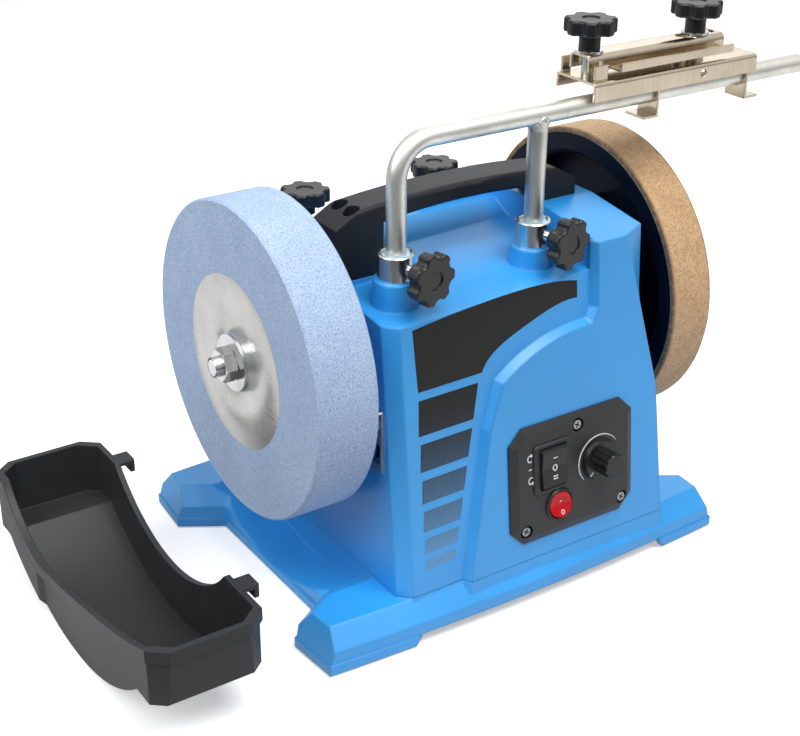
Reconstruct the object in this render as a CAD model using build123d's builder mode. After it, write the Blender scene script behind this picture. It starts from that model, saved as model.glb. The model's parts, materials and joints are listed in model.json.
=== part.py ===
from build123d import *

import os
from math import asin, cos, hypot, radians, sin, sqrt, tan

# Wet sharpening machine: a slow grinding stone and a leather honing wheel on one shaft, a tool support
# with a clamping jig, and a water trough that stands beside the machine.
# Frame: millimetres, +Z up. The stone is at -X, the honing wheel at +X, and the control panel faces -Y.
# The sizes below count from a point on the bench under the shaft. Each finished piece is then moved by
# STAND_X and STAND_Y, so that the origin is under the middle of the machine and its trough together.

os.makedirs("parts", exist_ok=True)

# Where the machine stands
STAND_X = 13.8
STAND_Y = 4.8

# General fits
WALL = 3.0
SEAT_GAP = 0.05
RUN_GAP = 0.1
BODY_GAP = 0.3

# Spindle, stone and honing wheel
SHAFT_Z = 159.0
SHAFT_D = 12.0
STONE_D = 200.0
STONE_W = 40.0
STONE_FACE_X = -148.0
STONE_EDGE = 1.2
STONE_FLANGE_D = 52.0
STONE_FLANGE_T = 3.5
SHOULDER_D = 22.0
CLAMP_WASHER_D = 36.0
CLAMP_WASHER_T = 2.5
NUT_AF = 19.0
NUT_H = 8.0
THREAD_PROUD = 4.5
HONE_D = 200.0
HONE_W = 32.0
HONE_FACE_X = 117.0
LEATHER_T = 4.0
RIM_T = 14.0
HONE_WEB_T = 5.0
HONE_WEB_SET = 3.0
HONE_HUB_D = 36.0
HONE_RIBS = 8
BUSH_D = 20.0
BUSH_L = 22.0
BUSH_FLANGE_D = 26.0
BUSH_FLANGE_T = 2.0
BEARING_BOSS_D = 32.0
BEARING_BOSS_PROUD = 3.0
CIRCLIP_T = 1.2
CIRCLIP_D = 18.0

# Body of the housing
BODY_Z = 27.0
BODY_FOOT_Z = 12.0
LEFT_X = -97.5
RIGHT_X = 106.0
RIGHT_LEAN = 3.5
FRONT_Y = -110.6
FRONT_TILT = 6.0
REAR_Y = 100.0
REAR_TILT = 8.0
REAR_TOP_Z = 166.0
DECK_LEFT_Z = 202.0
DECK_RIGHT_Z = 207.5
DECK_TILT = 5.0
HUMP_Z = 223.0
HUMP_Y = 9.0
HUMP_RUN = 15.0
HUMP_BACK_X = 4.0
REAR_STEP_Y = 36.0
SHOULDER_Z = 190.0
TOWER_X = 52.0
TOWER_Z = 226.0
TOWER_TILT = 8.0
TOWER_FLAT_Y = -40.0
CORNER_CHAMFER = 8.0
EDGE_R = 3.0

# Raised field of the front wall, which carries the control panel
RAISE = 5.5
RAISE_TAPER = 33.0
RAISE_LOW_X = -57.0
RAISE_KNEE = (-35.5, 126.0)
RAISE_TURN = (-25.0, 155.0)
RAISE_CROWN = (10.0, 172.5)
RAISE_END = (45.5, 177.5)
RAISE_COLUMN_X = 49.0
RAISE_STEP_Z = 184.5
FACET_LOW_Z = 121.0
FACET_TOP_IN = 19.0
FACET_BACK_Y = -86.7
FACET_FADE = 0.3
FACET_MARGIN = 20.0
FACET_WALL = 4.5

# Base and legs
FOOT_PROUD = 1.5
TIP_X = 153.5
TIP_Y = 117.0
HEEL_X = 156.5
HEEL_Y = 80.0
WAIST_X = 129.0
WAIST_Y = 63.0
BASE_BOW = 5.5
FASCIA_Z = 16.0
LEG_TOP_Z = 28.2
LEG_SLOPE = 40.0
LEG_END_SLOPE = 17.0
JOINT_Z = 28.8
BEAD = 1.0
BEAD_H = 6.5
SKIRT_LIFT = 6.5
SKIRT_RUN = 5.0
SKIRT_X0 = -95.0
SKIRT_X1 = 108.0
DISH_R = 152.0
PAD_D = 17.0
PAD_STEM_D = 7.0
PAD_STEM_L = 7.0
PAD_X = 141.0
PAD_Y = 98.0

# Bottom cover
COVER_Z = 11.0
COVER_T = 2.0
COVER_BOSS_D = 11.0
COVER_BOSS_H = 30.0
VENT_L = 46.0
VENT_W = 5.0
VENT_PITCH = 12.0
VENT_COUNT = 9
SCREW_D = 4.0
SCREW_HEAD_D = 7.0
SCREW_HEAD_H = 2.4

# Carry handle
HANDLE_Y0 = -36.0
HANDLE_Y1 = -9.0
HANDLE_LEFT_X = -97.0
HANDLE_RIGHT_X = 82.0
HANDLE_TOP_Z = 257.0
HANDLE_ARCH = 4.0
HANDLE_T = 11.0
HANDLE_END_DROP = 9.0
HANDLE_END_RUN = 16.0
POST_IN_X = -64.0
POST_RIGHT_IN_X = 57.0
PAD_LEFT_Z = 211.0
HANDLE_R = 3.0
HANDLE_HOLE_D = 10.0
HANDLE_HOLE_X = -82.0
HANDLE_HOLE_DEPTH = 14.0
HANDLE_HOLE_PITCH = 13.0

# Sleeves, tool support and star knobs
ROD_D = 12.0
LEG_PITCH = 100.0
FRONT_LEG_X = -73.8
FRONT_LEG_Y = -64.0
COLLAR_D = 22.0
COLLAR_H = 16.0
REAR_COLLAR_H = 19.0
COLLAR_WALL = 2.6
COLLAR_Z = 220.0
LINER_L = 55.0
LINER_RECESS = 1.2
BOSS_D = 27.0
BOSS_FLARE = 2.0
REAR_LEG_X = -66.0
REAR_COLLAR_Z = 208.0
REAR_BOSS_H = 7.2
BAR_Z = 301.3
BAR_END_X = 244.0
BAR_BEND_R = 22.0
LEG_LOW_Z = 168.0
BAR_CHAMFER = 1.0
KNOB_D = 32.0
KNOB_T = 9.0
KNOB_LOBES = 7
KNOB_SCALLOP_R = 4.4
KNOB_SCALLOP_AT = 17.6
KNOB_LOBE_R = 2.0
KNOB_DISH_D = 11.0
KNOB_DISH = 0.8
KNOB_HUB_D = 13.0
KNOB_HUB_H = 7.0
KNOB_GAP = 5.5
REAR_KNOB_GAP = 3.0
KNOB_BLIND = 3.0
KNOB_SWING = 11.0
CLAMP_SCREW_D = 6.0
CLAMP_SCREW_GRIP = 8.0
CLAMP_TIP_GAP = 0.35

# Jig on the bar
SHEET_T = 1.6
JIG_X0 = 60.0
JIG_X1 = 194.0
JIG_Y0 = -74.0
JIG_Y1 = -38.0
JIG_TOP_Z = 316.5
JIG_FRONT_DROP = 11.5
JIG_REAR_DROP = 9.0
JIG_R = 2.4
PLATE_SIDES = ((114.0, -1), (188.0, 1))
PLATE_LOW_Z = 287.5
PLATE_BACK_Y = -55.2
PLATE_FOOT = 11.5
JIG_HOLE_D = 5.0
JIG_HOLE_X = 148.0
TAB_W = 10.0
TAB_H = 9.0
TAB_X = 62.8
TAB_Y = -70.0
CLAMP_X0 = 62.0
CLAMP_X1 = 172.0
CLAMP_LIFT = 4.3
CLAMP_H = 10.0
CLAMP_R = 4.0
CLAMP_LIP_H = 5.0
CLAMP_RIDGE_Y0 = -65.0
CLAMP_RIDGE_Y1 = -47.0
CLAMP_LIP_X0 = 80.0
STUD_D = 8.0
STUD_X = (69.0, 155.0)
STUD_Y = -56.0
STUD_SLOT = 30.0
JIG_WASHER_D = 17.0
JIG_WASHER_T = 1.6
JIG_HUB_H = 10.0
JIG_TRAVEL = 3.75

# Motor and friction drive
ROLLER_D = 24.0
ROLLER_L = 18.0
ROLLER_SET = 3.0
DRIVE_ANGLE = 37.0
MOTOR_D = 68.0
MOTOR_L = 104.0
MOTOR_FACE_X = 78.0
MOTOR_SHAFT_D = 8.0
MOTOR_NOSE_D = 22.0
MOTOR_NOSE_H = 6.0
BRACKET_T = 3.0
BRACKET_SIDE = 74.0
BRACKET_PITCH = 56.0
BRACKET_BOSS_D = 11.0
MOTOR_HOLE_D = 18.0

# Control panel, in the plane of the raised field: x across, h up the slope from BODY_Z
PANEL_X = 28.9
PANEL_H = 54.3
PANEL_W = 98.5
PANEL_L = 78.8
PANEL_CORNER = 10.0
PANEL_EDGE_T = 1.2
PANEL_T = 4.0
PANEL_BEVEL = 62.0
WINDOW_AT = (30.0, 51.5)
WINDOW_W = 64.0
WINDOW_L = 58.0
PANEL_SCREWS = ((32.0, 85.6), (68.0, 24.5), (-9.6, 24.2))
RECESS_D = 9.0
RECESS_DEPTH = 3.2
ROCKER_AT = (10.9, 64.0)
ROCKER_W = 20.0
ROCKER_L = 24.0
ROCKER_FRAME = 4.9
ROCKER_FRAME_T = 1.4
ROCKER_PROUD = 2.8
ROCKER_DIP = 1.4
ROCKER_PIVOT = 3.0
ROCKER_DEPTH = 6.0
ROCKER_TILT = 12.0
ROCKER_SHELL = 1.0
ROCKER_BODY_L = 20.0
POWER_AT = (16.2, 36.0)
POWER_D = 16.5
POWER_RING_D = 22.0
POWER_RING_T = 1.6
POWER_PROUD = 1.0
POWER_DIP = 1.0
POWER_PIVOT = -1.0
POWER_PIN_D = 2.0
POWER_DEPTH = 4.0
POWER_TILT = 8.0
POWER_BODY_L = 18.0
SPEED_AT = (49.0, 57.5)
SPEED_SKIRT_D = 28.0
SPEED_SKIRT_T = 3.0
SPEED_GRIP_D = 16.5
SPEED_GRIP_H = 13.0
SPEED_FLUTES = 12
SPEED_FLUTE_R = 1.3
SPEED_SHAFT_D = 6.0
POT_D = 16.0
POT_T = 10.0
BOARD_AT = (50.0, 36.0)
BOARD_W = 36.0
BOARD_L = 18.0
BOARD_T = 1.6
BOARD_DEPTH = 12.0
POST_D = 5.0
POST_PITCH_X = 18.0
POST_PITCH_H = 11.0

# Trough hangers on the left wall
HANGER_Y = 81.0
HANGER_W = 14.0
HANGER_T = 1.4
HANGER_LOW_Z = 108.0
HANGER_TOP_Z = 150.0
HANGER_LIP = 4.5
SLOT_W = 9.0
SLOT_H = 13.0
SLOT_Z = 120.0
HANGER_SCREW_Z = 138.0

# Water trough, standing on the bench
TROUGH_X = -234.5
TROUGH_Y = -10.0
TROUGH_L = 237.0
TROUGH_W = 69.0
TROUGH_H = 71.0
TROUGH_CUT_X = 11.0
TROUGH_CUT_Y = 9.0
TROUGH_WALL = 2.5
TROUGH_END_H = 37.0
BELLY_R = 145.0
RIM_BAND = 8.0
RIM_PROUD = 1.2
NEAR_DIP = (4.0, 76.0, 35.0)
FAR_RIM = (
    (-109.0, 71.0), (-72.0, 58.5), (-36.0, 50.0), (8.0, 41.2), (42.0, 38.4), (72.0, 48.0), (97.0, 71.0)
)
TROUGH_END_LEAN = 2.5
TROUGH_PANEL_Y = 45.0
TROUGH_PANEL_STEP = 5.0
TROUGH_PANEL_T = 2.6
HOOK_Y = (-83.0, 85.0)
HOOK_W = 12.0
HOOK_REACH = 11.0
HOOK_T = 3.0
HOOK_DROP = 9.0

# Cord gland
GLAND_X = -60.0
GLAND_Z = 60.0
GLAND_D = 18.0
GLAND_HEAD_D = 24.0
GLAND_BORE_D = 8.0
GLAND_L = 10.0
GLAND_HEAD_T = 6.0


# Values that follow from the sizes above
tilt = radians(FRONT_TILT)
front_wall = Plane(
    origin=(0, FRONT_Y, BODY_Z), x_dir=(1, 0, 0), z_dir=(0, -cos(tilt), sin(tilt))
)
panel_plane = front_wall.offset(RAISE)
face_plane = panel_plane.offset(PANEL_T)
spindle = Plane(origin=(0, 0, SHAFT_Z), x_dir=(1, 0, 0), z_dir=(0, -1, 0))

shaft_r = SHAFT_D / 2
rod_r = ROD_D / 2
stone_inner_x = STONE_FACE_X + STONE_W
flange_x = stone_inner_x + STONE_FLANGE_T
hone_outer_x = HONE_FACE_X + HONE_W
rim_r = HONE_D / 2 - LEATHER_T
rim_inner_r = rim_r - RIM_T
lean = radians(RIGHT_LEAN)


def front_y(z):
    """Depth of the plain front wall at height z."""
    return FRONT_Y + (z - BODY_Z) * tan(tilt)


def rear_y(z):
    """Depth of the rear wall at height z."""
    return REAR_Y - (z - BODY_Z) * tan(radians(REAR_TILT))


def right_x(z):
    """Outer face of the leaning right wall at height z."""
    return RIGHT_X - (z - BODY_Z) * tan(lean)


def slope_h(z):
    """Distance up the front wall from BODY_Z to height z."""
    return (z - BODY_Z) / cos(tilt)


def write(solid, name):
    """Set a finished piece in its place, label it and write it as one node."""
    placed = solid.moved(Location((STAND_X, STAND_Y, 0)))
    placed.label = name
    export_step(placed, f"parts/{name}.step")


def turned(outline, plane):
    """Solid of revolution of an outline about the plane's own x axis."""
    with BuildPart() as solid:
        with BuildSketch(plane):
            with BuildLine():
                Polyline(*outline, close=True)
            make_face()
        revolve(axis=Axis(plane.origin, plane.x_dir))
    return solid.part


def ring(x0, x1, inner_d, outer_d, plane=spindle):
    """Plain ring about the plane's x axis, from x0 to x1."""
    return turned(
        [(x0, inner_d / 2), (x1, inner_d / 2), (x1, outer_d / 2), (x0, outer_d / 2)], plane
    )


# Spindle
left_bush_x = LEFT_X - BEARING_BOSS_PROUD - BUSH_FLANGE_T
right_boss_x = right_x(SHAFT_Z) + BEARING_BOSS_PROUD
right_bush_x = right_boss_x + BUSH_FLANGE_T
circlip_x = right_bush_x + BODY_GAP
shaft_left_x = STONE_FACE_X - CLAMP_WASHER_T - NUT_H - THREAD_PROUD
shaft_right_x = hone_outer_x + CLAMP_WASHER_T + NUT_H + THREAD_PROUD

with BuildPart() as main_shaft:
    add(ring(shaft_left_x, shaft_right_x, 0, SHAFT_D))
    add(ring(flange_x, left_bush_x - BODY_GAP, 0, SHOULDER_D))
    chamfer(main_shaft.edges().group_by(Axis.X)[0] + main_shaft.edges().group_by(Axis.X)[-1], 1.0)
write(main_shaft.part, "main_shaft")

stone_r = STONE_D / 2
write(
    turned(
        [
            (STONE_FACE_X, shaft_r + SEAT_GAP),
            (stone_inner_x, shaft_r + SEAT_GAP),
            (stone_inner_x, stone_r - STONE_EDGE),
            (stone_inner_x - STONE_EDGE, stone_r),
            (STONE_FACE_X + STONE_EDGE, stone_r),
            (STONE_FACE_X, stone_r - STONE_EDGE),
        ],
        spindle,
    ),
    "grinding_stone",
)
write(ring(stone_inner_x, flange_x, SHAFT_D + 2 * SEAT_GAP, STONE_FLANGE_D), "stone_flange")
write(ring(circlip_x, circlip_x + CIRCLIP_T, SHAFT_D + 2 * SEAT_GAP, CIRCLIP_D), "shaft_circlip")

with BuildPart() as clamp_washers:
    add(ring(STONE_FACE_X - CLAMP_WASHER_T, STONE_FACE_X, SHAFT_D + 2 * SEAT_GAP, CLAMP_WASHER_D))
    add(ring(hone_outer_x, hone_outer_x + CLAMP_WASHER_T, SHAFT_D + 2 * SEAT_GAP, CLAMP_WASHER_D))
write(clamp_washers.part, "clamp_washers")


def hex_nut(x0):
    """Hexagon nut on the shaft, its left face at x0, with both rims turned down."""
    corner_r = NUT_AF / sqrt(3)
    with BuildPart() as nut:
        with BuildSketch(Plane.YZ.offset(x0)):
            with Locations((0, SHAFT_Z)):
                RegularPolygon(NUT_AF / 2, 6, major_radius=False)
                Circle(shaft_r + SEAT_GAP, mode=Mode.SUBTRACT)
        extrude(amount=NUT_H)
        cone_h = (corner_r - NUT_AF / 2) / 2
        add(
            turned(
                [
                    (x0, 0),
                    (x0 + NUT_H, 0),
                    (x0 + NUT_H, NUT_AF / 2),
                    (x0 + NUT_H - cone_h, corner_r),
                    (x0 + cone_h, corner_r),
                    (x0, NUT_AF / 2),
                ],
                spindle,
            ),
            mode=Mode.INTERSECT,
        )
    return nut.part


write(hex_nut(STONE_FACE_X - CLAMP_WASHER_T - NUT_H), "stone_nut")
write(hex_nut(hone_outer_x + CLAMP_WASHER_T), "honing_nut")

hub_x = circlip_x + CIRCLIP_T
web_x = hone_outer_x - HONE_WEB_SET - HONE_WEB_T
hub_r = HONE_HUB_D / 2
with BuildPart() as honing_wheel:
    add(
        turned(
            [
                (hub_x, shaft_r + SEAT_GAP),
                (hone_outer_x, shaft_r + SEAT_GAP),
                (hone_outer_x, hub_r),
                (hone_outer_x - HONE_WEB_SET, hub_r + HONE_WEB_SET),
                (hone_outer_x - HONE_WEB_SET, rim_inner_r),
                (hone_outer_x, rim_inner_r + HONE_WEB_SET),
                (hone_outer_x, rim_r),
                (HONE_FACE_X, rim_r),
                (HONE_FACE_X, rim_inner_r + HONE_WEB_SET),
                (HONE_FACE_X + HONE_WEB_SET, rim_inner_r),
                (web_x, rim_inner_r),
                (web_x, hub_r + HONE_WEB_SET),
                (hub_x, hub_r - HONE_WEB_SET),
            ],
            spindle,
        )
    )
    rib_r0 = hub_r
    rib_r1 = rim_inner_r - ROLLER_D - 2 * HONE_WEB_SET
    with BuildSketch(Plane.YZ.offset(web_x)):
        with Locations((0, SHAFT_Z)):
            with PolarLocations((rib_r0 + rib_r1) / 2, HONE_RIBS):
                Rectangle(rib_r1 - rib_r0, HONE_WEB_T)
    extrude(amount=-2 * HONE_WEB_T)
write(honing_wheel.part, "honing_wheel")
write(ring(HONE_FACE_X, hone_outer_x, 2 * (rim_r + SEAT_GAP), HONE_D), "leather_band")

bush_bore = SHAFT_D + 2 * RUN_GAP
with BuildPart() as bushes:
    for face_x, inward in ((left_bush_x, 1), (right_bush_x, -1)):
        lip_x = face_x + inward * BUSH_FLANGE_T
        add(ring(*sorted((face_x, lip_x)), bush_bore, BUSH_FLANGE_D))
        add(ring(*sorted((lip_x, lip_x + inward * BUSH_L)), bush_bore, BUSH_D))
write(bushes.part, "shaft_bushes")


# Motor and drive roller
drive_r = rim_inner_r - ROLLER_D / 2 - BODY_GAP
drive_y = drive_r * sin(radians(DRIVE_ANGLE))
drive_z = SHAFT_Z - drive_r * cos(radians(DRIVE_ANGLE))
drive = Plane(origin=(0, drive_y, drive_z), x_dir=(1, 0, 0), z_dir=(0, -1, 0))
roller_x = HONE_FACE_X + ROLLER_SET
bracket_x = MOTOR_FACE_X + BRACKET_T
motor_r = MOTOR_D / 2
shaft_bore_d = MOTOR_SHAFT_D + 2 * RUN_GAP

with BuildPart() as motor:
    add(
        turned(
            [
                (MOTOR_FACE_X - MOTOR_L, shaft_bore_d / 2),
                (bracket_x + MOTOR_NOSE_H - BRACKET_T, shaft_bore_d / 2),
                (bracket_x + MOTOR_NOSE_H - BRACKET_T, MOTOR_NOSE_D / 2),
                (MOTOR_FACE_X, MOTOR_NOSE_D / 2),
                (MOTOR_FACE_X, motor_r),
                (MOTOR_FACE_X - MOTOR_L + WALL, motor_r),
                (MOTOR_FACE_X - MOTOR_L, motor_r - WALL),
            ],
            drive,
        )
    )
    with BuildSketch(Plane.YZ.offset(MOTOR_FACE_X - MOTOR_L)):
        with Locations((drive_y, drive_z)):
            with PolarLocations((motor_r + MOTOR_NOSE_D / 2) / 2, 6):
                SlotOverall(VENT_W * 2, VENT_W / 2, rotation=90)
    extrude(amount=WALL, mode=Mode.SUBTRACT)
write(motor.part, "motor")

with BuildPart() as motor_shaft:
    add(ring(MOTOR_FACE_X - MOTOR_L - WALL, roller_x + ROLLER_L, 0, MOTOR_SHAFT_D, drive))
write(motor_shaft.part, "motor_shaft")
write(
    ring(roller_x, roller_x + ROLLER_L, MOTOR_SHAFT_D + 2 * SEAT_GAP, ROLLER_D, drive), "drive_roller"
)

with BuildPart() as motor_bracket:
    with BuildSketch(Plane.YZ.offset(MOTOR_FACE_X)):
        with Locations((drive_y, drive_z)):
            RectangleRounded(BRACKET_SIDE, BRACKET_SIDE, (BRACKET_SIDE - BRACKET_PITCH) / 2)
            Circle(MOTOR_NOSE_D / 2 + SEAT_GAP, mode=Mode.SUBTRACT)
            with GridLocations(BRACKET_PITCH, BRACKET_PITCH, 2, 2):
                Circle(SCREW_D / 2 + RUN_GAP, mode=Mode.SUBTRACT)
    extrude(amount=BRACKET_T)
write(motor_bracket.part, "motor_bracket")


def screw_at(plane, length):
    """Pan-head screw: its head stands on the plane and its shank goes in against the normal."""
    with BuildPart() as screw:
        with BuildSketch(plane):
            Circle(SCREW_HEAD_D / 2)
        extrude(amount=SCREW_HEAD_H, taper=12)
        with BuildSketch(plane):
            Circle(SCREW_D / 2)
        extrude(amount=-length)
    return screw.part


def bracket_points():
    """Centres (y, z) of the four screws of the motor bracket."""
    half = BRACKET_PITCH / 2
    return [(drive_y + a * half, drive_z + b * half) for a in (-1, 1) for b in (-1, 1)]


with BuildPart() as bracket_screws:
    for y, z in bracket_points():
        add(screw_at(Plane(origin=(MOTOR_FACE_X, y, z), z_dir=(-1, 0, 0)), BRACKET_T + 8))
write(bracket_screws.part, "bracket_screws")


# Housing
def deck_outline(deck_z):
    """Side outline (y, z) of the body under the deck, whose front edge is at deck_z."""
    run_y = HUMP_Y - HUMP_RUN
    run_z = deck_z + (run_y - front_y(deck_z)) * tan(radians(DECK_TILT))
    return [
        (front_y(BODY_FOOT_Z), BODY_FOOT_Z),
        (front_y(deck_z), deck_z),
        (run_y, run_z),
        (HUMP_Y, HUMP_Z),
        (REAR_STEP_Y, HUMP_Z),
        (REAR_STEP_Y, SHOULDER_Z),
        (rear_y(REAR_TOP_Z), REAR_TOP_Z),
        (rear_y(BODY_FOOT_Z), BODY_FOOT_Z),
    ]


tower_flat_z = TOWER_Z + (TOWER_FLAT_Y - front_y(TOWER_Z)) * tan(radians(TOWER_TILT))


def tower_outline():
    """Side outline (y, z) of the tower beside the deck."""
    return [
        (front_y(BODY_FOOT_Z), BODY_FOOT_Z),
        (front_y(TOWER_Z), TOWER_Z),
        (TOWER_FLAT_Y, tower_flat_z),
        (REAR_STEP_Y, tower_flat_z),
        (REAR_STEP_Y, SHOULDER_Z),
        (rear_y(REAR_TOP_Z), REAR_TOP_Z),
        (rear_y(BODY_FOOT_Z), BODY_FOOT_Z),
    ]


def body_form(inset):
    """Deck block and tower as one solid, every face moved in by inset."""
    with BuildPart() as form:
        ends = ((LEFT_X + inset, DECK_LEFT_Z), (TOWER_X + 2 * inset, DECK_RIGHT_Z))
        for x, deck_z in ends:
            with BuildSketch(Plane.YZ.offset(x)):
                with BuildLine():
                    Polyline(*deck_outline(deck_z), close=True)
                make_face()
                if inset:
                    offset(amount=-inset, kind=Kind.INTERSECTION)
        loft(ruled=True)
        with BuildSketch(Plane.YZ.offset(TOWER_X + inset)):
            with BuildLine():
                Polyline(*tower_outline(), close=True)
            make_face()
            if inset:
                offset(amount=-inset, kind=Kind.INTERSECTION)
        extrude(amount=right_x(BODY_FOOT_Z) - TOWER_X)
        left_edges = form.edges().filter_by_position(Axis.X, ends[0][0] - 0.01, ends[0][0] + 0.01)
        upright = [edge for edge in left_edges if abs(edge.tangent_at(0.5).Z) > 0.9 and edge.length > 100]
        chamfer(upright, CORNER_CHAMFER)
        split(
            bisect_by=Plane(
                origin=(RIGHT_X - inset / cos(lean), 0, BODY_Z),
                x_dir=(0, 1, 0),
                z_dir=(cos(lean), 0, sin(lean)),
            ),
            keep=Keep.BOTTOM,
        )
    return form.part


def moved_in(corners, insets):
    """Corners of an anticlockwise outline after the side that leaves each corner is moved in by its inset."""
    moved = []
    corners_before = corners[-1:] + corners[:-1]
    corners_after = corners[1:] + corners[:1]
    insets_before = insets[-1:] + insets[:-1]
    sides = zip(corners_before, corners, corners_after, insets_before, insets)
    for before, here, after, first, second in sides:
        arriving = (Vector(*here) - Vector(*before)).normalized()
        leaving = (Vector(*after) - Vector(*here)).normalized()
        turn = arriving.X * leaving.Y - arriving.Y * leaving.X
        corner = Vector(*here) + (leaving * first - arriving * second) * (1 / turn)
        moved.append((corner.X, corner.Y))
    return moved


def base_plan(inset, end_inset):
    """Plan of the base, bowed and waisted, moved in by inset, and by end_inset at the ends of the legs."""
    half = [(0, -TIP_Y - BASE_BOW), (TIP_X, -TIP_Y), (HEEL_X, -HEEL_Y), (WAIST_X, -WAIST_Y)]
    half += [(x, -y) for x, y in half[:0:-1]]
    sides = [inset, end_inset, inset, inset, inset, end_inset, inset]
    corners = moved_in(half + [(-x, -y) for x, y in half], sides + sides)
    front, right, rear, left = corners[0], corners[1:7], corners[7], corners[8:]
    with BuildSketch() as plan:
        with BuildLine():
            ThreePointArc(left[-1], front, right[0])
            Polyline(*right)
            ThreePointArc(right[-1], rear, left[0])
            Polyline(*left)
        make_face()
    return plan.sketch


def base_form(inset):
    """Base with its four legs, every face moved in by inset, open towards the bench."""
    bead_z = FOOT_PROUD + BEAD_H
    top_z = LEG_TOP_Z - inset
    side = BEAD + inset
    end_rise = tan(radians(LEG_END_SLOPE))
    top_side = side + (top_z - FASCIA_Z) * tan(radians(LEG_SLOPE))
    levels = [
        (bead_z, base_plan(side, side)),
        (FASCIA_Z, base_plan(side, side + (FASCIA_Z - bead_z) * end_rise)),
        (top_z, base_plan(top_side, side + (top_z - bead_z) * end_rise)),
    ]
    with BuildPart() as form:
        with BuildSketch(Plane.XY.offset(FOOT_PROUD)):
            add(levels[0][1])
        extrude(amount=BEAD_H)
        for (low_z, low_plan), (high_z, high_plan) in zip(levels, levels[1:]):
            with BuildSketch(Plane.XY.offset(low_z)):
                add(low_plan)
            with BuildSketch(Plane.XY.offset(high_z)):
                add(high_plan)
            loft(ruled=True)
    return form.part


def raised_outline(inset):
    """Outline of the raised field on the front wall, moved in by inset."""
    foot_h = slope_h(BODY_FOOT_Z)
    past_h = slope_h(TOWER_Z) + 4 * RAISE
    past_x = RIGHT_X + 4 * RAISE
    corners = [(x, slope_h(z)) for x, z in (RAISE_CROWN, RAISE_TURN, RAISE_KNEE)]
    corners += [(RAISE_LOW_X, foot_h), (past_x, foot_h), (past_x, past_h), (RAISE_COLUMN_X, past_h)]
    corners += [(x, slope_h(z)) for x, z in ((RAISE_COLUMN_X, RAISE_STEP_Z), RAISE_END)]
    crown, *others = moved_in(corners, [inset] * len(corners))
    with BuildSketch() as field:
        with BuildLine():
            Polyline(*others)
            ThreePointArc(others[-1], crown, others[0])
        make_face()
    return field.sketch


front_legs = [(FRONT_LEG_X, FRONT_LEG_Y), (FRONT_LEG_X + LEG_PITCH, FRONT_LEG_Y)]
rear_legs = [REAR_LEG_X, REAR_LEG_X + LEG_PITCH]
liner_r = COLLAR_D / 2 - COLLAR_WALL
boss_in = COVER_BOSS_D / 2 + 2 * WALL / 3
cover_points = [
    (x, y)
    for x in (LEFT_X + CORNER_CHAMFER + boss_in, right_x(LEG_TOP_Z) - boss_in)
    for y in (front_y(LEG_TOP_Z) + boss_in, rear_y(LEG_TOP_Z) - boss_in)
]
handle_holes = [
    (HANDLE_HOLE_X, (HANDLE_Y0 + HANDLE_Y1 + side * HANDLE_HOLE_PITCH) / 2)
    for side in (-1, 1)
]
hanger_ys = (-HANGER_Y, HANGER_Y)
post_mid_x = (HANDLE_LEFT_X + POST_IN_X) / 2

# The body alone: deck, tower, raised field and the facet at its upper right corner
body_outside = body_form(0)
body_inside = body_form(WALL)
base_outside = base_form(0)
base_inside = base_form(WALL)
bead_plan = base_plan(0, 0)
raised_foot = raised_outline(0)
raised_top = raised_outline(RAISE * tan(radians(RAISE_TAPER)))

with BuildPart() as foot_bosses:
    with BuildSketch(Plane.XY.offset(FOOT_PROUD)):
        with GridLocations(2 * PAD_X, 2 * PAD_Y, 2, 2):
            Circle(PAD_D / 2)
    extrude(amount=LEG_TOP_Z - FOOT_PROUD)
    add(base_outside, mode=Mode.INTERSECT)

# What the twisted facet leaves out: on the front it leans in, on the right wall it stays at one depth
with BuildPart() as facet_cut:
    for z in (FACET_LOW_Z, TOWER_Z + RAISE):
        share = (z - FACET_LOW_Z) / (TOWER_Z - FACET_LOW_Z)
        wall_x = right_x(z)
        raised_y = front_y(z) - RAISE / cos(tilt)
        front_point = Vector(wall_x - FACET_TOP_IN * share, raised_y)
        wall_point = Vector(wall_x + FACET_FADE, FACET_BACK_Y)
        with BuildSketch(Plane.XY.offset(z)):
            with BuildLine():
                Polyline(
                    front_point + (front_point - wall_point) / 2,
                    (wall_x + FACET_MARGIN, raised_y - FACET_MARGIN),
                    wall_point,
                    close=True,
                )
            make_face()
    loft(ruled=True)

with BuildPart() as body:
    add(body_outside)
    with BuildSketch(front_wall):
        add(raised_foot)
    with BuildSketch(panel_plane):
        add(raised_top)
    loft(ruled=True)
    split(
        bisect_by=Plane(origin=(RIGHT_X, 0, BODY_Z), x_dir=(0, 1, 0), z_dir=(cos(lean), 0, sin(lean))),
        keep=Keep.BOTTOM,
    )
    top_tilt = radians(TOWER_TILT)
    split(
        bisect_by=Plane(
            origin=(0, front_y(TOWER_Z), TOWER_Z), x_dir=(1, 0, 0), z_dir=(0, -sin(top_tilt), cos(top_tilt))
        ),
        keep=Keep.BOTTOM,
    )
    add(facet_cut.part, mode=Mode.SUBTRACT)
    # Rising back of the bowl behind the handle
    with BuildSketch(Plane.YZ.offset(HUMP_BACK_X)):
        with BuildLine():
            Polyline(
                (HUMP_Y + EDGE_R, HUMP_Z - WALL),
                (HUMP_Y + 3 * EDGE_R, tower_flat_z),
                (REAR_STEP_Y, tower_flat_z),
                (REAR_STEP_Y, HUMP_Z - WALL),
                close=True,
            )
        make_face()
    extrude(amount=TOWER_X - HUMP_BACK_X)

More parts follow.
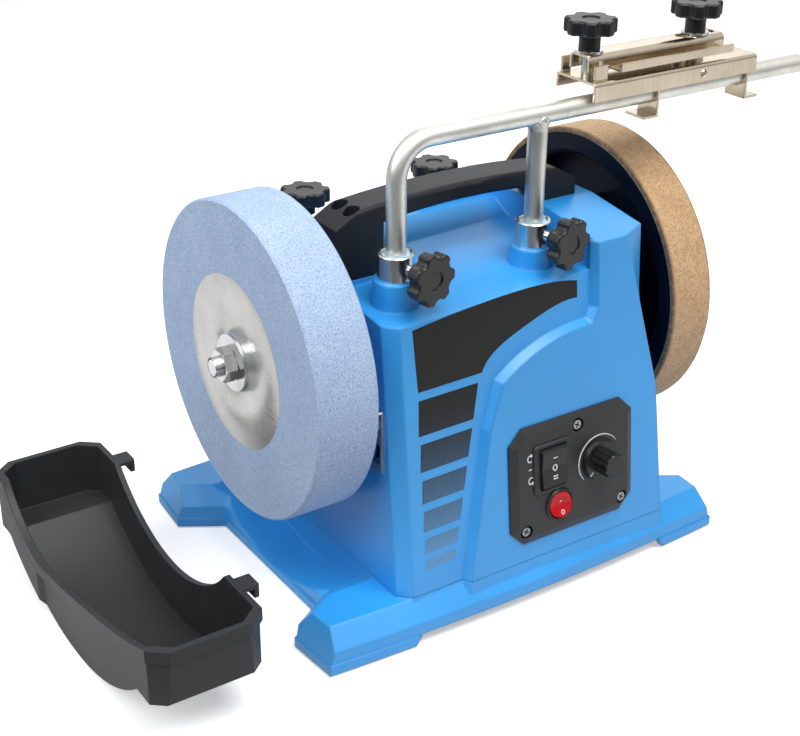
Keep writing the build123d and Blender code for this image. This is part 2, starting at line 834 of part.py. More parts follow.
# What is hollow inside: the body, the legs, and the pocket behind the raised field
with BuildPart() as hollow:
    add(body_inside)
    add(facet_cut.part.moved(Location((-FACET_WALL, WALL, 0))), mode=Mode.SUBTRACT)
    add(base_inside)
    with BuildSketch(panel_plane.offset(-WALL)):
        with Locations((PANEL_X, PANEL_H)):
            Rectangle(PANEL_W, PANEL_L)
    extrude(amount=-RAISE)
    with BuildSketch(Plane.YZ.offset(LEFT_X + WALL)):
        with Locations((0, SHAFT_Z)):
            Circle(DISH_R + WALL)
    extrude(amount=-2 * HEEL_X, mode=Mode.SUBTRACT)

with BuildPart() as housing:
    add(base_outside)
    with BuildSketch(Plane.XY.offset(FOOT_PROUD)):
        add(bead_plan)
    extrude(amount=BEAD_H)
    with BuildSketch(Plane.YZ.offset(LEFT_X)):
        with Locations((0, SHAFT_Z)):
            Circle(DISH_R)
    extrude(amount=-2 * HEEL_X, mode=Mode.SUBTRACT)
    add(body.part)
    for x, y in front_legs:
        foot_z = DECK_LEFT_Z - WALL
        with Locations((x, y, (foot_z + COLLAR_Z) / 2)):
            Cone(BOSS_D / 2 + BOSS_FLARE, BOSS_D / 2, COLLAR_Z - foot_z)
    for x in rear_legs:
        with BuildSketch(Plane.XZ.offset(-REAR_STEP_Y)):
            with Locations((x, REAR_COLLAR_Z)):
                Circle(BOSS_D / 2)
        extrude(amount=-REAR_BOSS_H)
    with BuildSketch(Plane.XY.offset(PAD_LEFT_Z)):
        with Locations((post_mid_x, (HANDLE_Y0 + HANDLE_Y1) / 2)):
            Rectangle(POST_IN_X - HANDLE_LEFT_X, HANDLE_Y1 - HANDLE_Y0)
    extrude(amount=DECK_LEFT_Z - PAD_LEFT_Z)
    add(hollow.part, mode=Mode.SUBTRACT)
    # Feet, bearing bosses and screw bosses inside the shell
    add(foot_bosses.part)
    add(ring(LEFT_X - BEARING_BOSS_PROUD, left_bush_x + BUSH_FLANGE_T + BUSH_L, 0, BEARING_BOSS_D))
    add(ring(right_bush_x - BUSH_FLANGE_T - BUSH_L, right_boss_x, 0, BEARING_BOSS_D))
    with BuildSketch(Plane.XY.offset(COVER_Z + COVER_T)):
        with Locations(*cover_points):
            Circle(COVER_BOSS_D / 2)
    extrude(amount=COVER_BOSS_H)
    for y, z in bracket_points():
        with BuildSketch(Plane.YZ.offset(bracket_x)):
            with Locations((y, z)):
                Circle(BRACKET_BOSS_D / 2)
        extrude(amount=right_x(z) - WALL / 2 - bracket_x)
    # Openings
    bush_bore_d = BUSH_D + 2 * SEAT_GAP
    add(ring(LEFT_X - WALL - BEARING_BOSS_PROUD, right_boss_x + WALL, 0, bush_bore_d), mode=Mode.SUBTRACT)
    add(ring(bracket_x, right_x(drive_z) + WALL, 0, MOTOR_HOLE_D, drive), mode=Mode.SUBTRACT)
    for x, y in front_legs:
        with Locations((x, y, COLLAR_Z)):
            Hole(liner_r + SEAT_GAP, LINER_L)
    for x in rear_legs:
        with BuildSketch(Plane.XZ.offset(-REAR_STEP_Y - REAR_BOSS_H)):
            with Locations((x, REAR_COLLAR_Z)):
                Circle(liner_r + SEAT_GAP)
        extrude(amount=REAR_BOSS_H + 2 * WALL, mode=Mode.SUBTRACT)
    with BuildSketch(panel_plane):
        with Locations(WINDOW_AT):
            Rectangle(WINDOW_W, WINDOW_L)
        with Locations(*PANEL_SCREWS):
            Circle(SCREW_D / 2 + SEAT_GAP)
    extrude(amount=-2 * WALL, mode=Mode.SUBTRACT)
    for y in (-1, 1):
        with BuildSketch(Plane.XZ.offset(y * TIP_Y - 2 * BASE_BOW)):
            with BuildLine():
                Polyline(
                    (SKIRT_X0, 0),
                    (SKIRT_X1, 0),
                    (SKIRT_X1 - SKIRT_RUN, FOOT_PROUD + SKIRT_LIFT),
                    (SKIRT_X0 + SKIRT_RUN, FOOT_PROUD + SKIRT_LIFT),
                    close=True,
                )
            make_face()
        extrude(amount=4 * BASE_BOW, mode=Mode.SUBTRACT)
    with BuildSketch(Plane.XY):
        with GridLocations(2 * PAD_X, 2 * PAD_Y, 2, 2):
            Circle(PAD_STEM_D / 2 + SEAT_GAP)
    extrude(amount=FOOT_PROUD + PAD_STEM_L + SEAT_GAP, mode=Mode.SUBTRACT)
    with BuildSketch(Plane.XY.offset(COVER_Z)):
        with Locations(*cover_points):
            Circle(SCREW_D / 2 + SEAT_GAP)
    extrude(amount=COVER_BOSS_H / 2, mode=Mode.SUBTRACT)
    for y, z in bracket_points():
        with BuildSketch(Plane.YZ.offset(bracket_x)):
            with Locations((y, z)):
                Circle(SCREW_D / 2 + SEAT_GAP)
        extrude(amount=9, mode=Mode.SUBTRACT)
    with BuildSketch(Plane.XY.offset(PAD_LEFT_Z)):
        with Locations(*handle_holes):
            Circle(SCREW_D / 2 + SEAT_GAP)
    extrude(amount=-2 * WALL - PAD_LEFT_Z + DECK_LEFT_Z, mode=Mode.SUBTRACT)
    with BuildSketch(Plane.YZ.offset(LEFT_X)):
        with Locations(*((y, SLOT_Z) for y in hanger_ys)):
            Rectangle(SLOT_W, SLOT_H)
        with Locations(*((y, HANGER_SCREW_Z) for y in hanger_ys)):
            Circle(SCREW_D / 2 + SEAT_GAP)
    extrude(amount=2 * WALL, mode=Mode.SUBTRACT)
    rear_plane = Plane(
        origin=(GLAND_X, rear_y(GLAND_Z), GLAND_Z),
        x_dir=(1, 0, 0),
        z_dir=(0, cos(radians(REAR_TILT)), sin(radians(REAR_TILT))),
    )
    with BuildSketch(rear_plane):
        Circle(GLAND_D / 2 + SEAT_GAP)
    extrude(amount=-2 * WALL, mode=Mode.SUBTRACT)
joint_plane = Plane.XY.offset(JOINT_Z)
write(split(housing.part, bisect_by=joint_plane, keep=Keep.TOP), "housing")
write(split(housing.part, bisect_by=joint_plane, keep=Keep.BOTTOM), "base")

with BuildPart() as bottom_cover:
    cover_y0 = FRONT_Y + WALL
    cover_y1 = REAR_Y - WALL
    cover_x0 = LEFT_X + WALL + BODY_GAP
    cover_x1 = RIGHT_X - WALL
    with BuildSketch(Plane.XY.offset(COVER_Z)):
        with Locations(((cover_x0 + cover_x1) / 2, (cover_y0 + cover_y1) / 2)):
            RectangleRounded(cover_x1 - cover_x0, cover_y1 - cover_y0, COVER_BOSS_D / 2)
            with GridLocations(VENT_PITCH, 2 * VENT_L, VENT_COUNT, 2):
                SlotOverall(VENT_L, VENT_W, rotation=90, mode=Mode.SUBTRACT)
        with Locations(*cover_points):
            Circle(SCREW_D / 2 + RUN_GAP, mode=Mode.SUBTRACT)
    extrude(amount=COVER_T)
write(bottom_cover.part, "bottom_cover")

with BuildPart() as cover_screws:
    for x, y in cover_points:
        add(screw_at(Plane(origin=(x, y, COVER_Z), z_dir=(0, 0, -1)), COVER_T + 8))
write(cover_screws.part, "cover_screws")

for index, (x, y) in enumerate([(a * PAD_X, b * PAD_Y) for a in (-1, 1) for b in (-1, 1)]):
    with BuildPart() as foot:
        with BuildSketch():
            with Locations((x, y)):
                Circle(PAD_D / 2)
        extrude(amount=FOOT_PROUD)
        with BuildSketch():
            with Locations((x, y)):
                Circle(PAD_STEM_D / 2)
        extrude(amount=FOOT_PROUD + PAD_STEM_L)
    write(foot.part, f"rubber_foot_{index + 1}")

# Carry handle
handle_end_z = HANDLE_TOP_Z - HANDLE_ARCH
left_top_x = HANDLE_LEFT_X + HANDLE_END_RUN
right_top_x = HANDLE_RIGHT_X - HANDLE_END_RUN
with BuildPart() as carry_handle:
    with BuildSketch(Plane.XZ.offset(-HANDLE_Y1)):
        with BuildLine():
            ThreePointArc(
                (left_top_x, handle_end_z),
                ((left_top_x + right_top_x) / 2, HANDLE_TOP_Z),
                (right_top_x, handle_end_z),
            )
            Polyline(
                (right_top_x, handle_end_z),
                (HANDLE_RIGHT_X, handle_end_z - HANDLE_END_DROP),
                (HANDLE_RIGHT_X, tower_flat_z),
                (POST_RIGHT_IN_X, tower_flat_z),
                (POST_RIGHT_IN_X, handle_end_z - HANDLE_T),
            )
            ThreePointArc(
                (POST_RIGHT_IN_X, handle_end_z - HANDLE_T),
                ((left_top_x + right_top_x) / 2, HANDLE_TOP_Z - HANDLE_T),
                (POST_IN_X, handle_end_z - HANDLE_T),
            )
            Polyline(
                (POST_IN_X, handle_end_z - HANDLE_T),
                (POST_IN_X, PAD_LEFT_Z),
                (HANDLE_LEFT_X, PAD_LEFT_Z),
                (HANDLE_LEFT_X, handle_end_z - HANDLE_END_DROP),
                (left_top_x, handle_end_z),
            )
        make_face()
    extrude(amount=HANDLE_Y1 - HANDLE_Y0)
    long_edges = carry_handle.edges().filter_by(GeomType.CIRCLE)
    fillet(long_edges, HANDLE_R)
    for x, y in handle_holes:
        with Locations((x, y, handle_end_z)):
            CounterBoreHole(
                SCREW_D / 2 + RUN_GAP, HANDLE_HOLE_D / 2, HANDLE_HOLE_DEPTH, handle_end_z - PAD_LEFT_Z
            )
write(carry_handle.part, "carry_handle")

with BuildPart() as handle_screws:
    seat_z = handle_end_z - HANDLE_HOLE_DEPTH
    for x, y in handle_holes:
        add(screw_at(Plane(origin=(x, y, seat_z)), seat_z - PAD_LEFT_Z + 3 * WALL))
write(handle_screws.part, "handle_screws")


# Control panel and its controls
panel_out = Axis(face_plane.origin, face_plane.z_dir)


def across_plane(at, rise, turn=0):
    """Plane across a control: x up the slope, y out of the panel, origin above the panel's face by rise."""
    turned_u = face_plane.y_dir * cos(radians(turn)) + face_plane.z_dir * sin(radians(turn))
    origin = face_plane.from_local_coords(Vector(at[0], at[1], rise))
    return Plane(origin=origin, x_dir=turned_u, z_dir=face_plane.x_dir)


rocker_top = ROCKER_FRAME_T + ROCKER_PROUD
rocker_r = hypot(ROCKER_L / 2, rocker_top + ROCKER_PIVOT)
rocker_sweep = asin((ROCKER_DEPTH - ROCKER_PIVOT) / rocker_r) + radians(ROCKER_TILT)
rocker_floor = ROCKER_PIVOT + rocker_r * sin(rocker_sweep) + BODY_GAP
rocker_slot_w = ROCKER_W + 2 * BODY_GAP
rocker_slot_l = 2 * (rocker_r + BODY_GAP)
rocker_body_w = rocker_slot_w + 2 * ROCKER_SHELL
rocker_body_l = rocker_slot_l + 2 * ROCKER_SHELL
power_top = POWER_RING_T + POWER_PROUD
power_r = hypot(POWER_D / 2, power_top - POWER_PIVOT)
power_slot_r = power_r + BODY_GAP
power_body_r = power_slot_r + ROCKER_SHELL
power_axle = across_plane(POWER_AT, POWER_PIVOT).offset(-power_slot_r)
post_points = [
    (BOARD_AT[0] + a * POST_PITCH_X / 2, BOARD_AT[1] + b * POST_PITCH_H / 2) for a in (-1, 1) for b in (-1, 1)
]

with BuildPart() as control_panel:
    with BuildSketch(panel_plane) as plate:
        with Locations((PANEL_X, PANEL_H)):
            Rectangle(PANEL_W, PANEL_L)
        chamfer(plate.vertices(), PANEL_CORNER)
    extrude(amount=PANEL_EDGE_T)
    with BuildSketch(panel_plane.offset(PANEL_EDGE_T)) as raised_plate:
        with Locations((PANEL_X, PANEL_H)):
            Rectangle(PANEL_W, PANEL_L)
        chamfer(raised_plate.vertices(), PANEL_CORNER)
    extrude(amount=PANEL_T - PANEL_EDGE_T, taper=PANEL_BEVEL)
    with BuildSketch(panel_plane):
        with Locations(*post_points):
            Circle(POST_D / 2)
    extrude(amount=-BOARD_DEPTH)
    with BuildSketch(face_plane):
        with Locations(ROCKER_AT):
            Rectangle(rocker_body_w + 2 * SEAT_GAP, rocker_body_l + 2 * SEAT_GAP)
        with Locations(POWER_AT):
            Circle(power_body_r + SEAT_GAP)
        with Locations(SPEED_AT):
            Circle(SPEED_SHAFT_D / 2 + RUN_GAP)
        with Locations(*PANEL_SCREWS):
            Circle(SCREW_D / 2 + RUN_GAP)
    extrude(amount=-PANEL_T, mode=Mode.SUBTRACT)
    with BuildSketch(face_plane):
        with Locations(*PANEL_SCREWS):
            Circle(RECESS_D / 2)
    extrude(amount=-RECESS_DEPTH, mode=Mode.SUBTRACT)
write(control_panel.part, "control_panel")

with BuildPart() as panel_screws:
    for x, h in PANEL_SCREWS:
        seat = face_plane.from_local_coords(Vector(x, h, -RECESS_DEPTH))
        screw_plane = Plane(origin=seat, x_dir=(1, 0, 0), z_dir=face_plane.z_dir)
        add(screw_at(screw_plane, PANEL_T - RECESS_DEPTH + 2 * WALL))
write(panel_screws.part, "panel_screws")

with BuildPart() as direction_switch:
    with BuildSketch(face_plane):
        with Locations(ROCKER_AT):
            RectangleRounded(ROCKER_W + 2 * ROCKER_FRAME, ROCKER_L + 2 * ROCKER_FRAME, EDGE_R)
    extrude(amount=ROCKER_FRAME_T)
    chamfer(direction_switch.faces().sort_by(panel_out)[-1].edges(), ROCKER_FRAME_T / 2)
    with BuildSketch(face_plane):
        with Locations(ROCKER_AT):
            Rectangle(rocker_body_w, rocker_body_l)
    extrude(amount=-ROCKER_BODY_L)
    with BuildSketch(face_plane.offset(ROCKER_FRAME_T)):
        with Locations(ROCKER_AT):
            Rectangle(rocker_slot_w, rocker_slot_l)
    extrude(amount=-ROCKER_FRAME_T - rocker_floor, mode=Mode.SUBTRACT)
write(direction_switch.part, "direction_switch")

with BuildPart() as direction_rocker:
    with BuildSketch(across_plane(ROCKER_AT, 0).offset(-ROCKER_W / 2)):
        with Locations((0, -ROCKER_PIVOT)):
            Circle(rocker_r)
        with BuildLine():
            Polyline(
                (0, rocker_top - ROCKER_DIP),
                (-ROCKER_L, rocker_top + ROCKER_DIP),
                (-ROCKER_L, -ROCKER_DEPTH),
                (ROCKER_L, -ROCKER_DEPTH),
                (ROCKER_L, rocker_top + ROCKER_DIP),
                close=True,
            )
        make_face(mode=Mode.INTERSECT)
    extrude(amount=ROCKER_W)
write(direction_rocker.part, "direction_rocker")

with BuildPart() as power_switch:
    with BuildSketch(face_plane):
        with Locations(POWER_AT):
            Circle(POWER_RING_D / 2)
    extrude(amount=POWER_RING_T)
    chamfer(power_switch.faces().sort_by(panel_out)[-1].edges(), POWER_RING_T / 2)
    with BuildSketch(face_plane):
        with Locations(POWER_AT):
            Circle(power_body_r)
    extrude(amount=-POWER_BODY_L)
    with BuildSketch(face_plane.offset(POWER_RING_T)):
        with Locations(POWER_AT):
            Circle(power_slot_r)
    extrude(amount=-POWER_RING_T - power_r + POWER_PIVOT - BODY_GAP, mode=Mode.SUBTRACT)
    with BuildSketch(power_axle):
        Circle(POWER_PIN_D / 2)
    extrude(amount=2 * power_slot_r)
write(power_switch.part, "power_switch")

with BuildPart() as power_rocker:
    with Locations(face_plane.from_local_coords(Vector(*POWER_AT, POWER_PIVOT))):
        Sphere(power_r)
    with BuildSketch(across_plane(POWER_AT, POWER_PIVOT, -POWER_TILT).offset(-power_r)):
        with BuildLine():
            Polyline(
                (0, power_top - POWER_DIP - POWER_PIVOT),
                (-POWER_D, power_top + POWER_DIP - POWER_PIVOT),
                (-POWER_D, -POWER_DEPTH),
                (POWER_D, -POWER_DEPTH),
                (POWER_D, power_top + POWER_DIP - POWER_PIVOT),
                close=True,
            )
        make_face()
    extrude(amount=2 * power_r, mode=Mode.INTERSECT)
    with BuildSketch(power_axle):
        Circle(POWER_PIN_D / 2 + RUN_GAP)
    extrude(amount=2 * power_slot_r, mode=Mode.SUBTRACT)
write(power_rocker.part, "power_rocker")

speed_back = BODY_GAP
shaft_end = SPEED_SKIRT_T + SPEED_GRIP_H - KNOB_BLIND
with BuildPart() as potentiometer:
    with BuildSketch(panel_plane):
        with Locations(SPEED_AT):
            Circle(POT_D / 2)
    extrude(amount=-POT_T)
    with BuildSketch(panel_plane):
        with Locations(SPEED_AT):
            Circle(SPEED_SHAFT_D / 2 + RUN_GAP)
    extrude(amount=-POT_T + WALL, mode=Mode.SUBTRACT)
write(potentiometer.part, "potentiometer")

with BuildPart() as pot_shaft:
    with BuildSketch(panel_plane.offset(-POT_T + WALL + BODY_GAP)):
        with Locations(SPEED_AT):
            Circle(SPEED_SHAFT_D / 2)
    extrude(amount=POT_T - WALL - BODY_GAP + PANEL_T + speed_back + shaft_end)
write(pot_shaft.part, "pot_shaft")

with BuildPart() as speed_knob:
    with BuildSketch(face_plane.offset(speed_back)):
        with Locations(SPEED_AT):
            Circle(SPEED_SKIRT_D / 2)
    extrude(amount=SPEED_SKIRT_T, taper=20)
    with BuildSketch(face_plane.offset(speed_back)):
        with Locations(SPEED_AT):
            Circle(SPEED_GRIP_D / 2)
    extrude(amount=SPEED_SKIRT_T + SPEED_GRIP_H)
    chamfer(speed_knob.faces().sort_by(panel_out)[-1].edges(), SPEED_FLUTE_R / 2)
    with BuildSketch(face_plane.offset(speed_back + SPEED_SKIRT_T)):
        with Locations(SPEED_AT):
            with PolarLocations(SPEED_GRIP_D / 2 + SPEED_FLUTE_R / 2, SPEED_FLUTES):
                Circle(SPEED_FLUTE_R)
    extrude(amount=SPEED_GRIP_H, mode=Mode.SUBTRACT)
    with BuildSketch(face_plane.offset(speed_back)):
        with Locations(SPEED_AT):
            Circle(SPEED_SHAFT_D / 2 + SEAT_GAP)
    extrude(amount=shaft_end, mode=Mode.SUBTRACT)
write(speed_knob.part, "speed_knob")

board_plane = panel_plane.offset(-BOARD_DEPTH)
with BuildPart() as control_board:
    with BuildSketch(board_plane):
        with Locations(BOARD_AT):
            Rectangle(BOARD_W, BOARD_L)
    extrude(amount=-BOARD_T)
    with BuildSketch(board_plane.offset(-BOARD_T)):
        with Locations(BOARD_AT):
            with GridLocations(BOARD_W / 3, 0, 3, 1):
                Circle(POST_D)
    extrude(amount=-BOARD_DEPTH)
write(control_board.part, "control_board")

# Sleeves and their liners
collar_bore = liner_r + SEAT_GAP
liner_bore = rod_r + RUN_GAP
front_knob_dir = Vector(sin(radians(KNOB_SWING)), -cos(radians(KNOB_SWING)), 0)
rear_collar_y = REAR_STEP_Y + REAR_BOSS_H
sleeves = []
for side, (x, y) in zip(("left", "right"), front_legs):
    mouth = Plane(origin=(x, y, COLLAR_Z))
    sleeves.append((f"front_{side}", mouth, COLLAR_H, front_knob_dir, KNOB_GAP))
for side, x in zip(("left", "right"), rear_legs):
    mouth = Plane(origin=(x, rear_collar_y, REAR_COLLAR_Z), x_dir=(1, 0, 0), z_dir=(0, 1, 0))
    sleeves.append((f"rear_{side}", mouth, REAR_COLLAR_H, Vector(0, 0, 1), REAR_KNOB_GAP))


def clamp_plane(sleeve, height, direction, distance):
    """Plane across a clamp screw, half way up its collar and at a distance from the sleeve's axis."""
    middle = sleeve.origin + sleeve.z_dir * (height / 2)
    return Plane(origin=middle + direction * distance, z_dir=direction)


def star_knob(plane, hub_h, bore_d):
    """Star knob standing on the plane, with a blind bore from its hub."""
    with BuildPart() as knob:
        with BuildSketch(plane.offset(hub_h)) as star:
            Circle(KNOB_D / 2)
            with PolarLocations(KNOB_SCALLOP_AT, KNOB_LOBES):
                Circle(KNOB_SCALLOP_R, mode=Mode.SUBTRACT)
            fillet(star.vertices(), KNOB_LOBE_R)
        extrude(amount=KNOB_T)
        upward = Axis(plane.origin, plane.z_dir)
        ends = knob.faces().filter_by(GeomType.PLANE).sort_by(upward)
        fillet(ends[-1].edges() + ends[0].edges(), KNOB_T / 6)
        with BuildSketch(plane):
            Circle(KNOB_HUB_D / 2)
        extrude(amount=hub_h + KNOB_T / 2)
        with BuildSketch(plane):
            Circle(bore_d / 2 + SEAT_GAP)
        extrude(amount=hub_h + KNOB_T - KNOB_BLIND, mode=Mode.SUBTRACT)
        with BuildSketch(plane.offset(hub_h + KNOB_T)):
            Circle(KNOB_DISH_D / 2)
        extrude(amount=-KNOB_DISH, mode=Mode.SUBTRACT)
    return knob.part


tip_r = rod_r + CLAMP_TIP_GAP
collar_r = COLLAR_D / 2
with BuildPart() as sleeve_liners:
    for side, sleeve, height, direction, gap in sleeves:
        depth = LINER_L if side.startswith("front") else REAR_BOSS_H + WALL
        with BuildSketch(sleeve.offset(height - LINER_RECESS)):
            Circle(liner_r)
            Circle(liner_bore, mode=Mode.SUBTRACT)
        extrude(amount=LINER_RECESS - height - depth)
        with BuildSketch(clamp_plane(sleeve, height, direction, 0)):
            Circle(CLAMP_SCREW_D / 2 + RUN_GAP)
        extrude(amount=collar_r, mode=Mode.SUBTRACT)
write(sleeve_liners.part, "sleeve_liners")

for side, sleeve, height, direction, gap in sleeves:
    with BuildPart() as collar:
        with BuildSketch(sleeve):
            Circle(collar_r)
            Circle(collar_bore, mode=Mode.SUBTRACT)
        extrude(amount=height)
        rims = collar.edges().filter_by(GeomType.CIRCLE).sort_by(Axis(sleeve.origin, sleeve.z_dir))[-2:]
        chamfer(rims, COLLAR_WALL / 4)
        with BuildSketch(clamp_plane(sleeve, height, direction, 0)):
            Circle(CLAMP_SCREW_D / 2 + RUN_GAP)
        extrude(amount=COLLAR_D, mode=Mode.SUBTRACT)
    write(collar.part, f"collar_{side}")
    hub_plane = clamp_plane(sleeve, height, direction, collar_r + gap)
    write(star_knob(hub_plane, KNOB_HUB_H, CLAMP_SCREW_D), f"star_knob_{side}")
    with BuildPart() as clamp_screw:
        with BuildSketch(clamp_plane(sleeve, height, direction, tip_r)):
            Circle(CLAMP_SCREW_D / 2)
        extrude(amount=collar_r + gap + CLAMP_SCREW_GRIP - tip_r)
    write(clamp_screw.part, f"clamp_screw_{side}")

# Tool support: a bent bar with one leg, and a second leg welded under it
left_foot = (front_legs[0][0], FRONT_LEG_Y, LEG_LOW_Z)
with BuildPart() as support_bar:
    with BuildLine() as bar_path:
        FilletPolyline(
            left_foot,
            (front_legs[0][0], FRONT_LEG_Y, BAR_Z),
            (BAR_END_X, FRONT_LEG_Y, BAR_Z),
            radius=BAR_BEND_R,
        )
    with BuildSketch(Plane(origin=left_foot)):
        Circle(rod_r)
    sweep()
    tips = support_bar.faces().filter_by(GeomType.PLANE)
    chamfer(tips.sort_by(Axis.Z)[0].edges() + tips.sort_by(Axis.X)[-1].edges(), BAR_CHAMFER)
write(support_bar.part, "support_bar")

with BuildPart() as support_leg:
    with BuildSketch(Plane.XY.offset(LEG_LOW_Z)):
        with Locations(front_legs[1]):
            Circle(rod_r)
    extrude(amount=BAR_Z - LEG_LOW_Z)
    chamfer(support_leg.faces().sort_by(Axis.Z)[0].edges(), BAR_CHAMFER)
    with Locations((*front_legs[1], BAR_Z - rod_r)):
        Cone(rod_r, rod_r + BAR_CHAMFER, rod_r)
    with BuildSketch(Plane.YZ.offset(FRONT_LEG_X)):
        with Locations((FRONT_LEG_Y, BAR_Z)):
            Circle(rod_r + SEAT_GAP)
    extrude(amount=BAR_END_X - FRONT_LEG_X, mode=Mode.SUBTRACT)
    split(bisect_by=Plane.XY.offset(BAR_Z), keep=Keep.BOTTOM)
write(support_leg.part, "support_leg")

# Jig on the bar: folded base, clamp channel, studs, washers and two star knobs
with BuildPart() as jig_base:
    with BuildSketch(Plane.YZ.offset(JIG_X0)) as section:
        with BuildLine():
            FilletPolyline(
                (JIG_Y0, JIG_TOP_Z - JIG_FRONT_DROP),
                (JIG_Y0, JIG_TOP_Z),
                (JIG_Y1, JIG_TOP_Z),
                (JIG_Y1, JIG_TOP_Z - JIG_REAR_DROP),
                radius=JIG_R,
            )
            offset(amount=-SHEET_T, side=Side.RIGHT)
        make_face()
    extrude(amount=JIG_X1 - JIG_X0)
    for x, toward in PLATE_SIDES:
        with BuildSketch(Plane.YZ.offset(x)):
            with BuildLine():
                Polyline(
                    (JIG_Y0 + SHEET_T, PLATE_LOW_Z),
                    (PLATE_BACK_Y, PLATE_LOW_Z),
                    (PLATE_BACK_Y, JIG_TOP_Z - SHEET_T),
                    (JIG_Y0 + SHEET_T, JIG_TOP_Z - SHEET_T),
                    close=True,
                )
            make_face()
        extrude(amount=toward * SHEET_T)
        with BuildSketch(Plane.XY.offset(PLATE_LOW_Z)):
            with Locations((x + toward * PLATE_FOOT / 2, (JIG_Y0 + SHEET_T + PLATE_BACK_Y) / 2)):
                Rectangle(PLATE_FOOT, PLATE_BACK_Y - JIG_Y0 - SHEET_T)
        extrude(amount=SHEET_T)
    with BuildSketch(Plane.YZ.offset(JIG_X0)):
        with Locations((FRONT_LEG_Y, BAR_Z)):
            Circle(rod_r + BODY_GAP)
    extrude(amount=JIG_X1 - JIG_X0, mode=Mode.SUBTRACT)
    with BuildSketch(Plane.XZ.offset(-TAB_Y - SHEET_T)):
        with Locations((TAB_X + TAB_W / 2, JIG_TOP_Z - SHEET_T / 2 + (TAB_H + SHEET_T / 2) / 2)):
            Rectangle(TAB_W, TAB_H + SHEET_T / 2)
    extrude(amount=SHEET_T)
    with BuildSketch(Plane.XZ.offset(-JIG_Y1)):
        with Locations((TAB_X + TAB_W / 3, JIG_TOP_Z - JIG_R + (TAB_H + JIG_R) / 2)):
            Rectangle(TAB_W * 2 / 3, TAB_H + JIG_R)
    extrude(amount=SHEET_T)
    with BuildSketch(Plane.XZ.offset(-JIG_Y0 - SHEET_T)):
        with Locations((JIG_HOLE_X, JIG_TOP_Z - JIG_FRONT_DROP / 2)):
            Circle(JIG_HOLE_D / 2)
    extrude(amount=SHEET_T, mode=Mode.SUBTRACT)
write(jig_base.part, "jig_base")

clamp_foot_z = JIG_TOP_Z + CLAMP_LIFT
clamp_top_z = clamp_foot_z + CLAMP_H
with BuildPart() as jig_clamp:
    with BuildSketch(Plane.YZ.offset(CLAMP_X0)):
        with BuildLine():
            FilletPolyline(
                (CLAMP_RIDGE_Y0, clamp_foot_z),
                (CLAMP_RIDGE_Y0, clamp_top_z),
                (CLAMP_RIDGE_Y1, clamp_top_z),
                (CLAMP_RIDGE_Y1, clamp_foot_z),
                radius=CLAMP_R,
            )
            offset(amount=-SHEET_T, side=Side.RIGHT)
        make_face()
    extrude(amount=CLAMP_X1 - CLAMP_X0)
    with BuildSketch(Plane.XY.offset(clamp_foot_z)):
        with Locations(((CLAMP_LIP_X0 + CLAMP_X1) / 2, (JIG_Y0 + CLAMP_RIDGE_Y0 + SHEET_T) / 2)):
            Rectangle(CLAMP_X1 - CLAMP_LIP_X0, CLAMP_RIDGE_Y0 + SHEET_T - JIG_Y0)
    extrude(amount=SHEET_T)
    with BuildSketch(Plane.XZ.offset(-JIG_Y0 - SHEET_T)):
        with Locations(((CLAMP_LIP_X0 + CLAMP_X1) / 2, clamp_foot_z + CLAMP_LIP_H / 2)):
            Rectangle(CLAMP_X1 - CLAMP_LIP_X0, CLAMP_LIP_H)
    extrude(amount=SHEET_T)
    with BuildSketch(Plane.XY.offset(clamp_top_z)):
        with Locations((STUD_X[0], STUD_Y)):
            Circle(STUD_D / 2 + BODY_GAP)
        with Locations((STUD_X[1], STUD_Y)):
            SlotOverall(STUD_SLOT, STUD_D + 2 * BODY_GAP)
    extrude(amount=-SHEET_T, mode=Mode.SUBTRACT)
write(jig_clamp.part, "jig_clamp")

knob_z = clamp_top_z + JIG_WASHER_T
stud_top_z = knob_z + JIG_HUB_H + KNOB_T - KNOB_BLIND - JIG_TRAVEL - BODY_GAP
with BuildPart() as jig_studs:
    with BuildSketch(Plane.XY.offset(JIG_TOP_Z)):
        with Locations(*((x, STUD_Y) for x in STUD_X)):
            Circle(STUD_D / 2)
    extrude(amount=stud_top_z - JIG_TOP_Z)
write(jig_studs.part, "jig_studs")

with BuildPart() as jig_washers:
    with BuildSketch(Plane.XY.offset(clamp_top_z)):
        with Locations(*((x, STUD_Y) for x in STUD_X)):
            Circle(JIG_WASHER_D / 2)
            Circle(STUD_D / 2 + BODY_GAP, mode=Mode.SUBTRACT)
    extrude(amount=JIG_WASHER_T)
write(jig_washers.part, "jig_washers")

for side, x in zip(("left", "right"), STUD_X):
    write(star_knob(Plane(origin=(x, STUD_Y, knob_z)), JIG_HUB_H, STUD_D), f"jig_knob_{side}")

# Trough hangers on the left wall
with BuildPart() as trough_hangers:
    with BuildSketch(Plane.YZ.offset(LEFT_X)):
        with Locations(*((y, (HANGER_LOW_Z + HANGER_TOP_Z) / 2) for y in hanger_ys)):
            Rectangle(HANGER_W, HANGER_TOP_Z - HANGER_LOW_Z)
        with Locations(*((y, SLOT_Z) for y in hanger_ys)):
            Rectangle(SLOT_W, SLOT_H, mode=Mode.SUBTRACT)
        with Locations(*((y, HANGER_SCREW_Z) for y in hanger_ys)):
            Circle(SCREW_D / 2 + RUN_GAP, mode=Mode.SUBTRACT)
    extrude(amount=-HANGER_T)
    with BuildSketch(Plane.XY.offset(HANGER_TOP_Z)):
        with Locations(*((LEFT_X - HANGER_LIP / 2, y) for y in hanger_ys)):
            Rectangle(HANGER_LIP, HANGER_W)
    extrude(amount=-HANGER_T)
write(trough_hangers.part, "trough_hangers")

